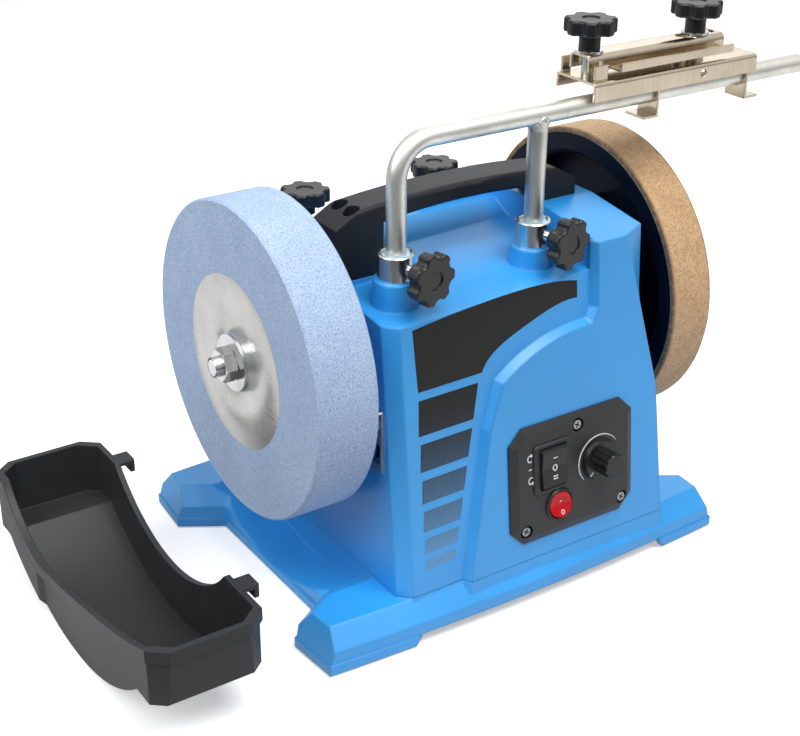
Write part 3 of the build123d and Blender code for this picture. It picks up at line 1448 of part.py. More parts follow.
with BuildPart() as hanger_screws:
    for y in hanger_ys:
        seat = Plane(origin=(LEFT_X - HANGER_T, y, HANGER_SCREW_Z), z_dir=(-1, 0, 0))
        add(screw_at(seat, HANGER_T + 2 * WALL))
write(hanger_screws.part, "hanger_screws")


# Water trough
def trough_plan(inset):
    """Plan of the trough with its cut corners, moved in by inset, about the trough's own centre."""
    half_x = TROUGH_W / 2 - inset
    half_y = TROUGH_L / 2 - inset
    with BuildSketch() as plan:
        with BuildLine():
            Polyline(
                (half_x, -half_y + TROUGH_CUT_Y),
                (half_x, half_y - TROUGH_CUT_Y),
                (half_x - TROUGH_CUT_X, half_y),
                (TROUGH_CUT_X - half_x, half_y),
                (-half_x, half_y - TROUGH_CUT_Y),
                (-half_x, -half_y + TROUGH_CUT_Y),
                (TROUGH_CUT_X - half_x, -half_y),
                (half_x - TROUGH_CUT_X, -half_y),
                close=True,
            )
        make_face()
    return plan.sketch


def trough_form(plan, inset):
    """Block on a plan with the trough's belly and leaning ends, these moved in by inset."""
    end_y = TROUGH_L / 2 - inset
    end_floor_z = TROUGH_H - TROUGH_END_H + inset
    belly_r = BELLY_R - inset
    belly_half = sqrt(belly_r**2 - (BELLY_R - end_floor_z) ** 2)
    with BuildPart() as form:
        with BuildSketch():
            add(plan)
        extrude(amount=TROUGH_H)
        with BuildSketch(Plane.YZ.offset(-TROUGH_W)):
            with BuildLine():
                ThreePointArc((-belly_half, end_floor_z), (0, inset), (belly_half, end_floor_z))
                Polyline(
                    (belly_half, end_floor_z),
                    (end_y - TROUGH_END_LEAN, end_floor_z),
                    (end_y, TROUGH_H),
                    (-end_y, TROUGH_H),
                    (TROUGH_END_LEAN - end_y, end_floor_z),
                    (-belly_half, end_floor_z),
                )
            make_face()
        extrude(amount=2 * TROUGH_W, mode=Mode.INTERSECT)
    return form.part


def rim_dips(drop):
    """What the two long rims leave out: a hollow on each long side, lowered by drop."""
    middle, half_span, depth = NEAR_DIP
    dip_r = (half_span**2 + depth**2) / (2 * depth)
    far_points = [(y, z - drop) for y, z in FAR_RIM]
    top_z = TROUGH_H + RIM_BAND
    with BuildPart() as dips:
        with BuildSketch(Plane.YZ):
            with Locations((middle, TROUGH_H - depth + dip_r - drop)):
                Circle(dip_r)
        extrude(amount=TROUGH_W)
        with BuildSketch(Plane.YZ):
            with BuildLine():
                Spline(*far_points)
                Polyline(far_points[-1], (far_points[-1][0], top_z), (far_points[0][0], top_z), far_points[0])
            make_face()
        extrude(amount=-TROUGH_W)
    return dips.part


trough_outside = trough_form(trough_plan(0), 0)
trough_inside = trough_form(trough_plan(TROUGH_WALL), TROUGH_WALL)
rim_plan = trough_plan(-RIM_PROUD)
rim_hole = trough_plan(TROUGH_WALL)
high_dips = rim_dips(0)
low_dips = rim_dips(RIM_BAND)
trough_place = Location((TROUGH_X, TROUGH_Y, 0))

with BuildPart() as below_rim:
    with Locations((0, 0, (TROUGH_H - RIM_BAND) / 2)):
        Box(2 * TROUGH_W, 2 * TROUGH_L, TROUGH_H - RIM_BAND)
    add(low_dips, mode=Mode.SUBTRACT)

with BuildPart() as rim_band:
    with BuildSketch():
        add(rim_plan)
        add(rim_hole, mode=Mode.SUBTRACT)
    extrude(amount=TROUGH_H)
    add(below_rim.part, mode=Mode.SUBTRACT)

# Far part of the outer long wall, which stands proud under the rim
outer_x = -TROUGH_W / 2
panel_end_y = TROUGH_L / 2 - TROUGH_CUT_Y
with BuildSketch() as proud_plan:
    with BuildLine():
        Polyline(
            (outer_x + TROUGH_WALL, TROUGH_PANEL_Y),
            (outer_x + TROUGH_WALL, panel_end_y),
            (outer_x, panel_end_y),
            (outer_x - TROUGH_PANEL_T, panel_end_y - TROUGH_PANEL_T),
            (outer_x - TROUGH_PANEL_T, TROUGH_PANEL_Y + TROUGH_PANEL_STEP),
            (outer_x, TROUGH_PANEL_Y),
            close=True,
        )
    make_face()

with BuildPart() as trough:
    add(trough_form(proud_plan.sketch, 0))
    add(below_rim.part, mode=Mode.INTERSECT)
    add(trough_outside)
    add(rim_band.part)
    add(trough_inside, mode=Mode.SUBTRACT)
    for y in HOOK_Y:
        with Locations((TROUGH_W / 2 + HOOK_REACH / 2, y, TROUGH_H - HOOK_T / 2)):
            Box(HOOK_REACH, HOOK_W, HOOK_T)
        with Locations((TROUGH_W / 2 + HOOK_REACH - HOOK_T / 2, y, TROUGH_H - HOOK_DROP / 2)):
            Box(HOOK_T, HOOK_W, HOOK_DROP)
    add(high_dips, mode=Mode.SUBTRACT)
write(trough.part.moved(trough_place), "water_trough")

# Cord gland in the rear wall
with BuildPart() as cord_gland:
    with BuildSketch(rear_plane):
        Circle(GLAND_HEAD_D / 2)
    extrude(amount=GLAND_HEAD_T, taper=15)
    with BuildSketch(rear_plane):
        Circle(GLAND_D / 2)
    extrude(amount=-GLAND_L)
    with BuildSketch(rear_plane.offset(GLAND_HEAD_T)):
        Circle(GLAND_BORE_D / 2)
    extrude(amount=-GLAND_HEAD_T - GLAND_L, mode=Mode.SUBTRACT)
write(cord_gland.part, "cord_gland")
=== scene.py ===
"""Dresses the wet sharpening machine: finishes, prints and small pieces over the frame's solids."""

import fnmatch
import json
import logging
import math
from dataclasses import dataclass
from enum import Enum
from typing import ClassVar, Optional, Union

import bpy
import numpy as np
from mathutils import Matrix, Vector


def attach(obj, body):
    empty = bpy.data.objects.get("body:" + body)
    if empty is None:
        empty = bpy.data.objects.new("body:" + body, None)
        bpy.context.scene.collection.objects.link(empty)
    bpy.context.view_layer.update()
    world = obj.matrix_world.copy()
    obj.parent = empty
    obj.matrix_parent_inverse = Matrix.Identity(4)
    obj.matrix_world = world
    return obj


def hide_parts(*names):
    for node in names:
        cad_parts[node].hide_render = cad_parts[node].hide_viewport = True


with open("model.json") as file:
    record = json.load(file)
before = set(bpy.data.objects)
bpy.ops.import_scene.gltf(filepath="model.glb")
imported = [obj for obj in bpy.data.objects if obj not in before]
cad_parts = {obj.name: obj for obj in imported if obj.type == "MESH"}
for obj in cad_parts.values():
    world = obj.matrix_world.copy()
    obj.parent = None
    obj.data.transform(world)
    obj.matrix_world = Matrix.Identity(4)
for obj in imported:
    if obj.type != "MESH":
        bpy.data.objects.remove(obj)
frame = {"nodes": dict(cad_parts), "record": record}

log = logging.getLogger("scene")
MM = 0.001
Colour = tuple[float, float, float]
Pair = tuple[float, float]
Term = Union["Value", float]


class Way(Enum):
    """Direction of the drawing lines in a metal's surface, as a scale along each axis."""

    NONE = (1.0, 1.0, 1.0)
    ALONG_Y = (1.0, 0.03, 1.0)
    ALONG_Z = (1.0, 1.0, 0.02)


def joint(name: str) -> dict:
    """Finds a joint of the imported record.

    Args:
        name: the joint's name.

    Returns:
        The joint's entry in the record.
    """
    return next(j for j in frame["record"]["behaviour"]["joints"] if j["name"] == name)


SHAFT = np.array(joint("wheel_spin")["pos_m"]) / MM
STAND = np.array([SHAFT[0], SHAFT[1], 0.0])
SHAFT_Z = float(SHAFT[2])


def place(points: np.ndarray) -> np.ndarray:
    """Moves points from the machine's own millimetres to the frame's metres.

    Args:
        points: array of points in millimetres, counted from the bench under the shaft.

    Returns:
        The same points in metres, in the row frame.
    """
    return (np.asarray(points, float) + STAND) * MM


class Value:
    """One shader socket that takes part in Python arithmetic."""

    def __init__(self, graph: "Graph", socket: bpy.types.NodeSocket) -> None:
        """Keeps the socket and the graph that it belongs to."""
        self.graph = graph
        self.socket = socket

    def maths(self, operation: str, first: Term, second: Term = 0.0) -> "Value":
        """Adds a Math node.

        Args:
            operation: the node's operation.
            first: its first value.
            second: its second value.

        Returns:
            The node's result.
        """
        return self.graph.node("ShaderNodeMath", {"operation": operation}, {0: first, 1: second})

    def __add__(self, other: Term) -> "Value":
        """Sum of two values."""
        return self.maths("ADD", self, other)

    def __sub__(self, other: Term) -> "Value":
        """Difference of two values."""
        return self.maths("SUBTRACT", self, other)

    def __rsub__(self, other: Term) -> "Value":
        """Difference from a number."""
        return self.maths("SUBTRACT", other, self)

    def __mul__(self, other: Term) -> "Value":
        """Product of two values."""
        return self.maths("MULTIPLY", self, other)

    __radd__ = __add__
    __rmul__ = __mul__


class Graph:
    """A node tree in the making, with a method for each pattern of nodes that the finishes share."""

    def __init__(self, tree: bpy.types.NodeTree) -> None:
        """Empties the tree and keeps it."""
        self.tree = tree
        self.tree.nodes.clear()

    def add(self, kind: str, settings: Optional[dict] = None,
            inputs: Optional[dict] = None) -> bpy.types.Node:
        """Adds a node.

        Args:
            kind: the node's type.
            settings: its own properties.
            inputs: values or links of its sockets, by name or number.

        Returns:
            The node.
        """
        node = self.tree.nodes.new(kind)
        for key, value in (settings or {}).items():
            setattr(node, key, value)
        for key, value in (inputs or {}).items():
            if isinstance(value, Value):
                self.tree.links.new(value.socket, node.inputs[key])
            else:
                node.inputs[key].default_value = value
        return node

    def node(self, kind: str, settings: Optional[dict] = None, inputs: Optional[dict] = None,
             output: Union[int, str] = 0) -> Value:
        """Adds a node as add does, and gives the output that is wanted."""
        return Value(self, self.add(kind, settings, inputs).outputs[output])

    def coordinates(self, scale: tuple[float, float, float] = (1.0, 1.0, 1.0)) -> Value:
        """Object coordinates, stretched by a scale along each axis."""
        plain = self.node("ShaderNodeTexCoord", output="Object")
        return self.node("ShaderNodeMapping", {}, {"Vector": plain, "Scale": scale})

    def axis(self, letter: str, output: str = "Object") -> Value:
        """One coordinate, X, Y or Z, of the point that is shaded."""
        at = self.node("ShaderNodeTexCoord", output=output)
        return self.node("ShaderNodeSeparateXYZ", {}, {"Vector": at}, letter)

    def noise(self, size: float, detail: float, at: Optional[Value] = None) -> Value:
        """Noise from 0 to 1.

        Args:
            size: size of its features in metres.
            detail: how many finer octaves it has.
            at: the coordinates, plain Object ones if left out.

        Returns:
            The noise.
        """
        inputs = {"Vector": at or self.coordinates(), "Scale": 1.0 / size, "Detail": detail}
        return self.node("ShaderNodeTexNoise", {}, inputs, "Fac")

    def cells(self, size: float) -> Value:
        """Distance to the nearest of many scattered points that lie about size metres apart."""
        inputs = {"Vector": self.coordinates(), "Scale": 1.0 / size}
        return self.node("ShaderNodeTexVoronoi", {}, inputs, "Distance")

    def ramp(self, factor: Value, low: float, high: float) -> Value:
        """Rises from 0 at low to 1 at high, and stays level outside."""
        inputs = {"Value": factor, "From Min": low, "From Max": high}
        return self.node("ShaderNodeMapRange", {}, inputs, "Result")

    def blend(self, factor: Term, first: Union[Value, Colour], second: Union[Value, Colour]) -> Value:
        """Mixes two colours.

        Args:
            factor: share of the second colour.
            first: the first colour.
            second: the second colour.

        Returns:
            The mixed colour.
        """
        colours = [c if isinstance(c, Value) else (*c, 1.0) for c in (first, second)]
        return self.node("ShaderNodeMix", {"data_type": "RGBA"}, {0: factor, 6: colours[0], 7: colours[1]}, 2)

    def relief(self, height: Value, depth: float, edge: float = 0.0) -> Value:
        """Bump over softened edges.

        Args:
            height: what the bump follows, from 0 to 1.
            depth: height of the bump in metres.
            edge: radius of the softened edges in metres, none if 0.

        Returns:
            The normal.
        """
        inputs = {"Height": height, "Distance": depth, "Strength": 1.0}
        if edge:
            inputs["Normal"] = self.node("ShaderNodeBevel", {"samples": 4}, {"Radius": edge})
        return self.node("ShaderNodeBump", {}, inputs)


class Paint(Graph):
    """The graph of one material."""

    def __init__(self, name: str) -> None:
        """Starts an empty material of that name."""
        self.material = bpy.data.materials.new(name)
        self.material.use_nodes = True
        super().__init__(self.material.node_tree)

    def close(self, surface: Value) -> bpy.types.Material:
        """Puts a shader on the material's surface, and gives the material."""
        self.add("ShaderNodeOutputMaterial", {}, {"Surface": surface})
        return self.material

    def done(self, inputs: dict) -> bpy.types.Material:
        """Closes the material with a Principled shader.

        Args:
            inputs: values or links of the shader's sockets.

        Returns:
            The finished material.
        """
        return self.close(self.node("ShaderNodeBsdfPrincipled", {}, inputs))


def shaded(colour: Colour, factor: float) -> Colour:
    """A colour with its brightness multiplied by a factor."""
    return tuple(min(c * factor, 1.0) for c in colour)


@dataclass(frozen=True)
class Moulding:
    """Moulded plastic: fine grain, faint clouds of flow, softened edges.

    Sizes are in metres. In every finish a band is the stretch of a noise over which one colour gives way to
    the next, a share is the most of it that shows, and a swing is how far a noise moves the roughness.
    """

    name: str
    colour: Colour
    roughness: float
    grain: float = 0.0009
    depth: float = 0.00002
    edge: float = 0.0007
    clouds: float = 0.1
    gloss: float = 0.3
    cloud_size: float = 0.06
    cloud_band: Pair = (0.3, 0.7)
    cloud_swing: float = 0.12
    grain_swing: float = 0.1

    def material(self) -> bpy.types.Material:
        """Builds the material; the clouds darken and lighten the colour by the same share."""
        s = Paint(self.name)
        cloud = s.noise(self.cloud_size, 3.0)
        grain = s.noise(self.grain, 2.0)
        dark, light = shaded(self.colour, 1.0 - self.clouds), shaded(self.colour, 1.0 + self.clouds)
        return s.done({
            "Base Color": s.blend(s.ramp(cloud, *self.cloud_band), dark, light),
            "Roughness": self.roughness + (cloud - 0.5) * self.cloud_swing + (grain - 0.5) * self.grain_swing,
            "Specular IOR Level": self.gloss,
            "Normal": s.relief(grain, self.depth, self.edge),
        })


@dataclass(frozen=True)
class Plated:
    """Plated steel: bright, with drawing lines and patches of faint tint."""

    name: str
    colour: Colour
    tint: Colour
    roughness: float
    way: Way = Way.NONE
    line: float = 0.0004
    line_share: float = 0.35
    depth: float = 0.000006
    edge: float = 0.0003
    line_band: Pair = (0.3, 0.75)
    line_swing: float = 0.12
    patch: float = 0.02
    patch_band: Pair = (0.35, 0.68)
    patch_share: float = 0.7
    patch_swing: float = 0.14

    def material(self) -> bpy.types.Material:
        """Builds the material."""
        s = Paint(self.name)
        patch = s.noise(self.patch, 4.0)
        lines = s.noise(self.line, 3.0, s.coordinates(self.way.value))
        drawn = s.blend(s.ramp(lines, *self.line_band) * self.line_share, self.colour, self.tint)
        return s.done({
            "Base Color": s.blend(s.ramp(patch, *self.patch_band) * self.patch_share, drawn, self.tint),
            "Metallic": 1.0,
            "Roughness": self.roughness + (patch - 0.5) * self.patch_swing + (lines - 0.5) * self.line_swing,
            "Normal": s.relief(lines, self.depth, self.edge),
        })


@dataclass(frozen=True)
class Grit:
    """Vitrified abrasive: fine pale grains with small darker specks and open pores."""

    name: str
    colour: Colour
    speck: Colour
    pale: Colour
    grain: float = 0.0007
    grain_band: Pair = (0.42, 0.66)
    speck_size: float = 0.0008
    speck_band: Pair = (0.5, 0.62)
    speck_share: float = 0.8
    cloud: float = 0.03
    cloud_band: Pair = (0.35, 0.75)
    cloud_share: float = 0.25
    pore: float = 0.0012
    pore_band: Pair = (0.0, 0.35)
    depth: float = 0.00005
    edge: float = 0.0006
    roughness: float = 0.85
    grain_swing: float = 0.2
    gloss: float = 0.2

    def material(self) -> bpy.types.Material:
        """Builds the material."""
        s = Paint(self.name)
        grains = s.noise(self.grain, 3.0)
        specks = s.noise(self.speck_size, 2.0)
        cloud = s.noise(self.cloud, 4.0)
        base = s.blend(s.ramp(grains, *self.grain_band), self.colour, self.pale)
        specked = s.blend(s.ramp(specks, *self.speck_band) * self.speck_share, base, self.speck)
        return s.done({
            "Base Color": s.blend(s.ramp(cloud, *self.cloud_band) * self.cloud_share, specked, self.speck),
            "Roughness": self.roughness + (grains - 0.5) * self.grain_swing,
            "Specular IOR Level": self.gloss,
            "Normal": s.relief(grains + s.ramp(s.cells(self.pore), *self.pore_band), self.depth, self.edge),
        })


@dataclass(frozen=True)
class Suede:
    """Rough leather: tan nap with darker rubbed patches, loose fibres and dark cut edges."""

    name: str
    colour: Colour
    dark: Colour
    pale: Colour
    cut: Colour
    middle: float
    half: float
    frayed: float = 0.0022
    ragged: float = 0.002
    patch: float = 0.016
    patch_band: Pair = (0.34, 0.58)
    nap: float = 0.004
    nap_band: Pair = (0.46, 0.7)
    nap_share: float = 0.5
    fibre: float = 0.0012
    fibre_band: Pair = (0.46, 0.62)
    fibre_share: float = 0.7
    fibre_shade: float = 0.62
    depth: float = 0.00025
    roughness: float = 0.9
    fibre_swing: float = 0.15
    sheen: Pair = (0.3, 0.5)
    gloss: float = 0.2

    def material(self) -> bpy.types.Material:
        """Builds the material; the last frayed metres before each edge darken to the cut colour."""
        s = Paint(self.name)
        patch = s.noise(self.patch, 6.0)
        fibre = s.noise(self.fibre, 4.0)
        nap = s.noise(self.nap, 5.0)
        across = s.axis("X") - self.middle
        off = across.maths("ABSOLUTE", across) + (nap - 0.5) * self.ragged
        tan = s.blend(s.ramp(patch, *self.patch_band), self.dark, self.colour)
        base = s.blend(s.ramp(off, self.half - self.frayed, self.half), tan, self.cut)
        rubbed = s.blend(s.ramp(nap, *self.nap_band) * self.nap_share, base, self.pale)
        loose = s.ramp(fibre, *self.fibre_band) * self.fibre_share
        return s.done({
            "Base Color": s.blend(loose, rubbed, shaded(self.dark, self.fibre_shade)),
            "Roughness": self.roughness + (fibre - 0.5) * self.fibre_swing,
            "Sheen Weight": self.sheen[0],
            "Sheen Roughness": self.sheen[1],
            "Specular IOR Level": self.gloss,
            "Normal": s.relief(fibre + nap, self.depth),
        })


@dataclass(frozen=True)
class Foil:
    """Thin metal label, finely brushed, with a few handling marks."""

    name: str
    colour: Colour
    brush: float = 0.0005
    brush_way: Way = Way.ALONG_Y
    brush_height: float = 0.02
    brush_swing: float = 0.2
    mark: float = 0.025
    mark_band: Pair = (0.3, 0.75)
    mark_shade: float = 0.82
    metal: float = 0.7
    roughness: float = 0.3
    depth: float = 0.0005

    def material(self) -> bpy.types.Material:
        """Builds the material; the marks are dents, and the brushing is a small share of their height."""
        s = Paint(self.name)
        lines = s.noise(self.brush, 3.0, s.coordinates(self.brush_way.value))
        marks = s.noise(self.mark, 3.0)
        worn = shaded(self.colour, self.mark_shade)
        return s.done({
            "Base Color": s.blend(s.ramp(marks, *self.mark_band), self.colour, worn),
            "Metallic": self.metal,
            "Roughness": self.roughness + (lines - 0.5) * self.brush_swing,
            "Normal": s.relief(marks + lines * self.brush_height, self.depth),
        })


@dataclass(frozen=True)
class Ink:
    """Printed film or paint: even, slightly worn in its gloss."""

    name: str
    colour: Colour
    roughness: float = 0.35
    gloss: float = 0.3
    wear: float = 0.008
    wear_band: Pair = (0.4, 0.8)
    wear_share: float = 0.2
    wear_shade: float = 0.8
    wear_swing: float = 0.15

    def material(self) -> bpy.types.Material:
        """Builds the material."""
        s = Paint(self.name)
        wear = s.noise(self.wear, 4.0)
        worn = s.ramp(wear, *self.wear_band) * self.wear_share
        return s.done({
            "Base Color": s.blend(worn, self.colour, shaded(self.colour, self.wear_shade)),
            "Roughness": self.roughness + (wear - 0.5) * self.wear_swing,
            "Specular IOR Level": self.gloss,
        })


@dataclass(frozen=True)
class FadingInk:
    """Film printed in dots that shrink towards its foot, over a paler tone of the housing's colour."""

    name: str
    ink: Colour
    ground: Colour
    low: float
    high: float
    pitch: float = 0.0016
    bend: float = 1.75
    middle: float = 0.38
    contrast: float = 3.2
    roughness: float = 0.36
    gloss: float = 0.3
    wear: float = 0.006
    wear_swing: float = 0.12

    def material(self) -> bpy.types.Material:
        """Builds the material.

        The bare share is a power of the way down from high to low. Around each dot's middle distance the ink
        rises and falls, most where half of it is left.
        """
        s = Paint(self.name)
        across, height = s.axis("X"), s.axis("Z")
        bare = s.ramp(height, self.high, self.low)
        inked = 1.0 - bare.maths("POWER", bare, self.bend)
        wall = s.node("ShaderNodeCombineXYZ", {}, {"X": across, "Y": height})
        dot = s.node(
            "ShaderNodeTexVoronoi",
            {"voronoi_dimensions": "2D"},
            {"Vector": wall, "Scale": 1.0 / self.pitch, "Randomness": 0.0},
            "Distance",
        )
        dotted = inked + (self.middle - dot) * inked * (1.0 - inked) * self.contrast
        return s.done({
            "Base Color": s.blend(s.ramp(dotted, 0.0, 1.0), self.ground, self.ink),
            "Roughness": self.roughness + (s.noise(self.wear, 3.0) - 0.5) * self.wear_swing,
            "Specular IOR Level": self.gloss,
        })


@dataclass(frozen=True)
class Lens:
    """Clear coloured plastic of a lit rocker."""

    name: str
    colour: Colour
    cloud: float = 0.004
    cloud_band: Pair = (0.3, 0.7)
    cloud_shade: float = 0.75
    cloud_swing: float = 0.08
    roughness: float = 0.16
    gloss: float = 0.25
    depth: float = 0.00002
    edge: float = 0.0004

    def material(self) -> bpy.types.Material:
        """Builds the material."""
        s = Paint(self.name)
        cloud = s.noise(self.cloud, 2.0)
        deep = shaded(self.colour, self.cloud_shade)
        return s.done({
            "Base Color": s.blend(s.ramp(cloud, *self.cloud_band), self.colour, deep),
            "Roughness": self.roughness + (cloud - 0.5) * self.cloud_swing,
            "Specular IOR Level": self.gloss,
            "Normal": s.relief(cloud, self.depth, self.edge),
        })


# Edges of the leather band along the shaft, in millimetres
BAND_X: Pair = (117.0, 149.0)


class Finish(Enum):
    """Every finish of the machine."""

    BLUE = Moulding(
        "blue_moulding", (0.026, 0.335, 0.8), 0.36,
        grain=0.0008, depth=0.000012, edge=0.0022, clouds=0.05, gloss=0.8,
    )
    BLACK = Moulding(
        "black_moulding", (0.016, 0.017, 0.018), 0.42, grain=0.0007, depth=0.00003, edge=0.0008,
    )
    HANDLE = Moulding(
        "handle_moulding", (0.012, 0.014, 0.017), 0.46, grain=0.0011, depth=0.00004, edge=0.0008,
    )
    KNOB = Moulding(
        "knob_moulding", (0.011, 0.011, 0.012), 0.34, grain=0.001, depth=0.00001, gloss=0.42,
    )
    TROUGH = Moulding(
        "trough_moulding", (0.021, 0.021, 0.024), 0.5, grain=0.0012, edge=0.001, clouds=0.2, gloss=0.4,
    )
    WHEEL = Moulding(
        "wheel_moulding", (0.004, 0.008, 0.02), 0.35, grain=0.002, depth=0.000008, edge=0.0008, gloss=0.06,
    )
    PANEL = Moulding(
        "panel_moulding", (0.02, 0.02, 0.021), 0.46, grain=0.0005, depth=0.00003, edge=0.0005, gloss=0.45,
    )
    LINER = Moulding("liner_moulding", (0.42, 0.6, 0.78), 0.5)
    BOARD = Moulding("board_laminate", (0.03, 0.16, 0.06), 0.35)
    MOTOR = Moulding("motor_enamel", (0.05, 0.05, 0.055), 0.45)
    RUBBER = Moulding("soft_rubber", (0.02, 0.02, 0.02), 0.75, grain=0.0015, depth=0.00005)
    RED = Lens("red_lens", (0.62, 0.008, 0.018))
    PLATE = Plated("zinc_plate", (0.68, 0.69, 0.67), (0.48, 0.49, 0.44), 0.3)
    # One zinc plating in lit and shaded copies: the bar's paler colours are painted light, the leg's darker
    # ones painted shade.
    BAR = Plated(
        "zinc_bar", (0.92, 0.92, 0.87), (0.6, 0.6, 0.54), 0.42, line=0.0012, line_share=0.6, depth=0.00002,
    )
    LEG = Plated(
        "zinc_leg", (0.86, 0.87, 0.84), (0.46, 0.47, 0.42), 0.38, Way.ALONG_Z,
        line=0.0012, line_share=0.6, depth=0.00001,
    )
    NICKEL = Plated(
        "jig_nickel", (0.74, 0.655, 0.52), (0.58, 0.49, 0.37), 0.17, Way.ALONG_Z,
        line=0.0011, line_share=0.7, edge=0.0008,
    )
    BRIGHT = Plated("bright_zinc", (0.74, 0.76, 0.77), (0.52, 0.53, 0.52), 0.2)
    # Panel screw steel darkened as painted shade for the deep counterbores that the screws sit in.
    SCREW = Plated("screw_steel_painted_shade", (0.42, 0.42, 0.42), (0.2, 0.2, 0.2), 0.26)
    CHROME = Plated("chrome_sleeve", (0.8, 0.82, 0.83), (0.62, 0.64, 0.64), 0.2, Way.ALONG_Z)
    BRONZE = Plated("sintered_bronze", (0.55, 0.38, 0.16), (0.4, 0.27, 0.12), 0.45)
    STONE = Grit("stone_grit", (0.41, 0.54, 0.77), speck=(0.25, 0.35, 0.54), pale=(0.6, 0.73, 0.93))
    SUEDE = Suede(
        "tan_suede", (0.65, 0.42, 0.225), dark=(0.55, 0.345, 0.18), pale=(0.73, 0.5, 0.29),
        cut=(0.12, 0.075, 0.045), middle=float(STAND[0] + sum(BAND_X) / 2.0) * MM,
        half=(BAND_X[1] - BAND_X[0]) / 2.0 * MM,
    )
    FOIL = Foil("stone_foil", (0.66, 0.66, 0.65))
    WHITE = Ink("white_ink", (0.8, 0.8, 0.8))
    FILM = Ink("black_film", (0.009, 0.009, 0.009))
    # Dark ink for the screws' cross recesses: painted shade, standing in for the shade in each hollow.
    RECESS = Ink("painted_recess_shade", (0.012, 0.012, 0.012), 0.6)

    @property
    def material(self) -> bpy.types.Material:
        """The finish's material, built at its first use."""
        return bpy.data.materials.get(self.value.name) or self.value.material()


def grid_faces(rows: int, columns: int, wrap_rows: bool, wrap_columns: bool) -> np.ndarray:
    """Quads of a grid of points, facing along rows cross columns.

    Args:
        rows: points along the first parameter.
        columns: points along the second parameter.
        wrap_rows: whether the last row meets the first.
        wrap_columns: whether the last column meets the first.

    Returns:
        Array of four point numbers per face.
    """
    first = np.arange(rows if wrap_rows else rows - 1)
    second = np.arange(columns if wrap_columns else columns - 1)
    i, j = np.meshgrid(first, second, indexing="ij")
    k, m = (i + 1) % rows, (j + 1) % columns
    return np.stack([i * columns + j, k * columns + j, k * columns + m, i * columns + m], -1).reshape(-1, 4)


def piece(name: str, grids: list[np.ndarray], body: str, finish: bpy.types.Material,
          wrap: tuple[bool, bool] = (False, False), smooth: bool = True) -> bpy.types.Object:
    """Makes one mesh piece of one or more grids, which rides on a body.

    Args:
        name: the piece's name.
        grids: arrays of points in metres, rows by columns by three.
        body: the body that carries it.
        finish: its material.
        wrap: whether rows and columns close on themselves.
        smooth: whether its faces are shaded smooth.

    Returns:
        The object.
    """
    starts = np.cumsum([0] + [grid.shape[0] * grid.shape[1] for grid in grids])
    faces = np.concatenate([grid_faces(*g.shape[:2], *wrap) + start for g, start in zip(grids, starts)])
    points = np.concatenate([grid.reshape(-1, 3) for grid in grids])
    mesh = bpy.data.meshes.new(name)
    mesh.from_pydata(points.tolist(), [], faces.tolist())
    mesh.polygons.foreach_set("use_smooth", np.full(len(mesh.polygons), smooth))
    mesh.materials.append(finish)
    mesh.update()
    obj = bpy.data.objects.new(name, mesh)
    bpy.context.scene.collection.objects.link(obj)
    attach(obj, body)
    log.info("%s: %d faces on %s", name, len(faces), body)
    return obj


@dataclass(frozen=True)
class Slope:
    """A plane up the front of the housing: x across, h up the slope, out from it, in millimetres."""

    out: float = 0.0
    foot_y: float = -110.6
    foot_z: float = 27.0
    tilt: float = 6.0

    def points(self, flat: np.ndarray, proud: Union[float, np.ndarray] = 0.0) -> np.ndarray:
        """Places flat points on the plane.

        Args:
            flat: array whose last axis is (x, h) in millimetres.
            proud: how far above the plane they lie, in millimetres.

        Returns:
            The points in metres.
        """
        t = math.radians(self.tilt)
        x, h = np.moveaxis(np.asarray(flat, float), -1, 0)
        outward = self.out + proud
        y = self.foot_y + h * math.sin(t) - outward * math.cos(t)
        z = self.foot_z + h * math.cos(t) + outward * math.sin(t)
        return place(np.stack([x, y, z], -1))


FRONT = Slope()
FACE = Slope(out=9.5)


def arc(centre: Pair, radii: Pair, start: float, end: float, count: int) -> np.ndarray:
    """Points along an ellipse's arc: the centre plus each radius times cosine and sine.

    Args:
        centre: the ellipse's centre.
        radii: its half widths.
        start: first angle in degrees.
        end: last angle in degrees.
        count: number of points.

    Returns:
        Array of flat points.
    """
    a = np.radians(np.linspace(start, end, count))
    return np.stack([centre[0] + radii[0] * np.cos(a), centre[1] + radii[1] * np.sin(a)], -1)


def line(start: Pair, end: Pair, count: int = 2) -> np.ndarray:
    """Points evenly along a straight line."""
    return np.linspace(start, end, count)


def through(points: tuple[Pair, ...], count: int) -> np.ndarray:
    """A smooth curve through a few points: one polynomial of the chord length for each coordinate.

    Args:
        points: the few points.
        count: number of points along the curve.

    Returns:
        Array of flat points.
    """
    p = np.asarray(points, float)
    s = np.concatenate([[0.0], np.cumsum(np.linalg.norm(np.diff(p, axis=0), axis=1))])
    t = np.linspace(0.0, s[-1], count)
    return np.stack([np.polyval(np.polyfit(s, p[:, k], len(p) - 1), t) for k in (0, 1)], -1)


def ribbon(path: np.ndarray, width: Union[float, np.ndarray]) -> np.ndarray:
    """Flat strip: each point of a path moved by half the width to both sides, along its normal.

    Args:
        path: flat points along the strip's middle.
        width: width of the strip, one number or one for each point.

    Returns:
        Grid of flat points, one row for each point of the path.
    """
    along = np.gradient(path, axis=0)
    along /= np.linalg.norm(along, axis=1, keepdims=True)
    left = np.stack([-along[:, 1], along[:, 0]], -1)
    half = left * (np.broadcast_to(width, len(path)) / 2.0)[:, None]
    return np.stack([path - half, path + half], 1)


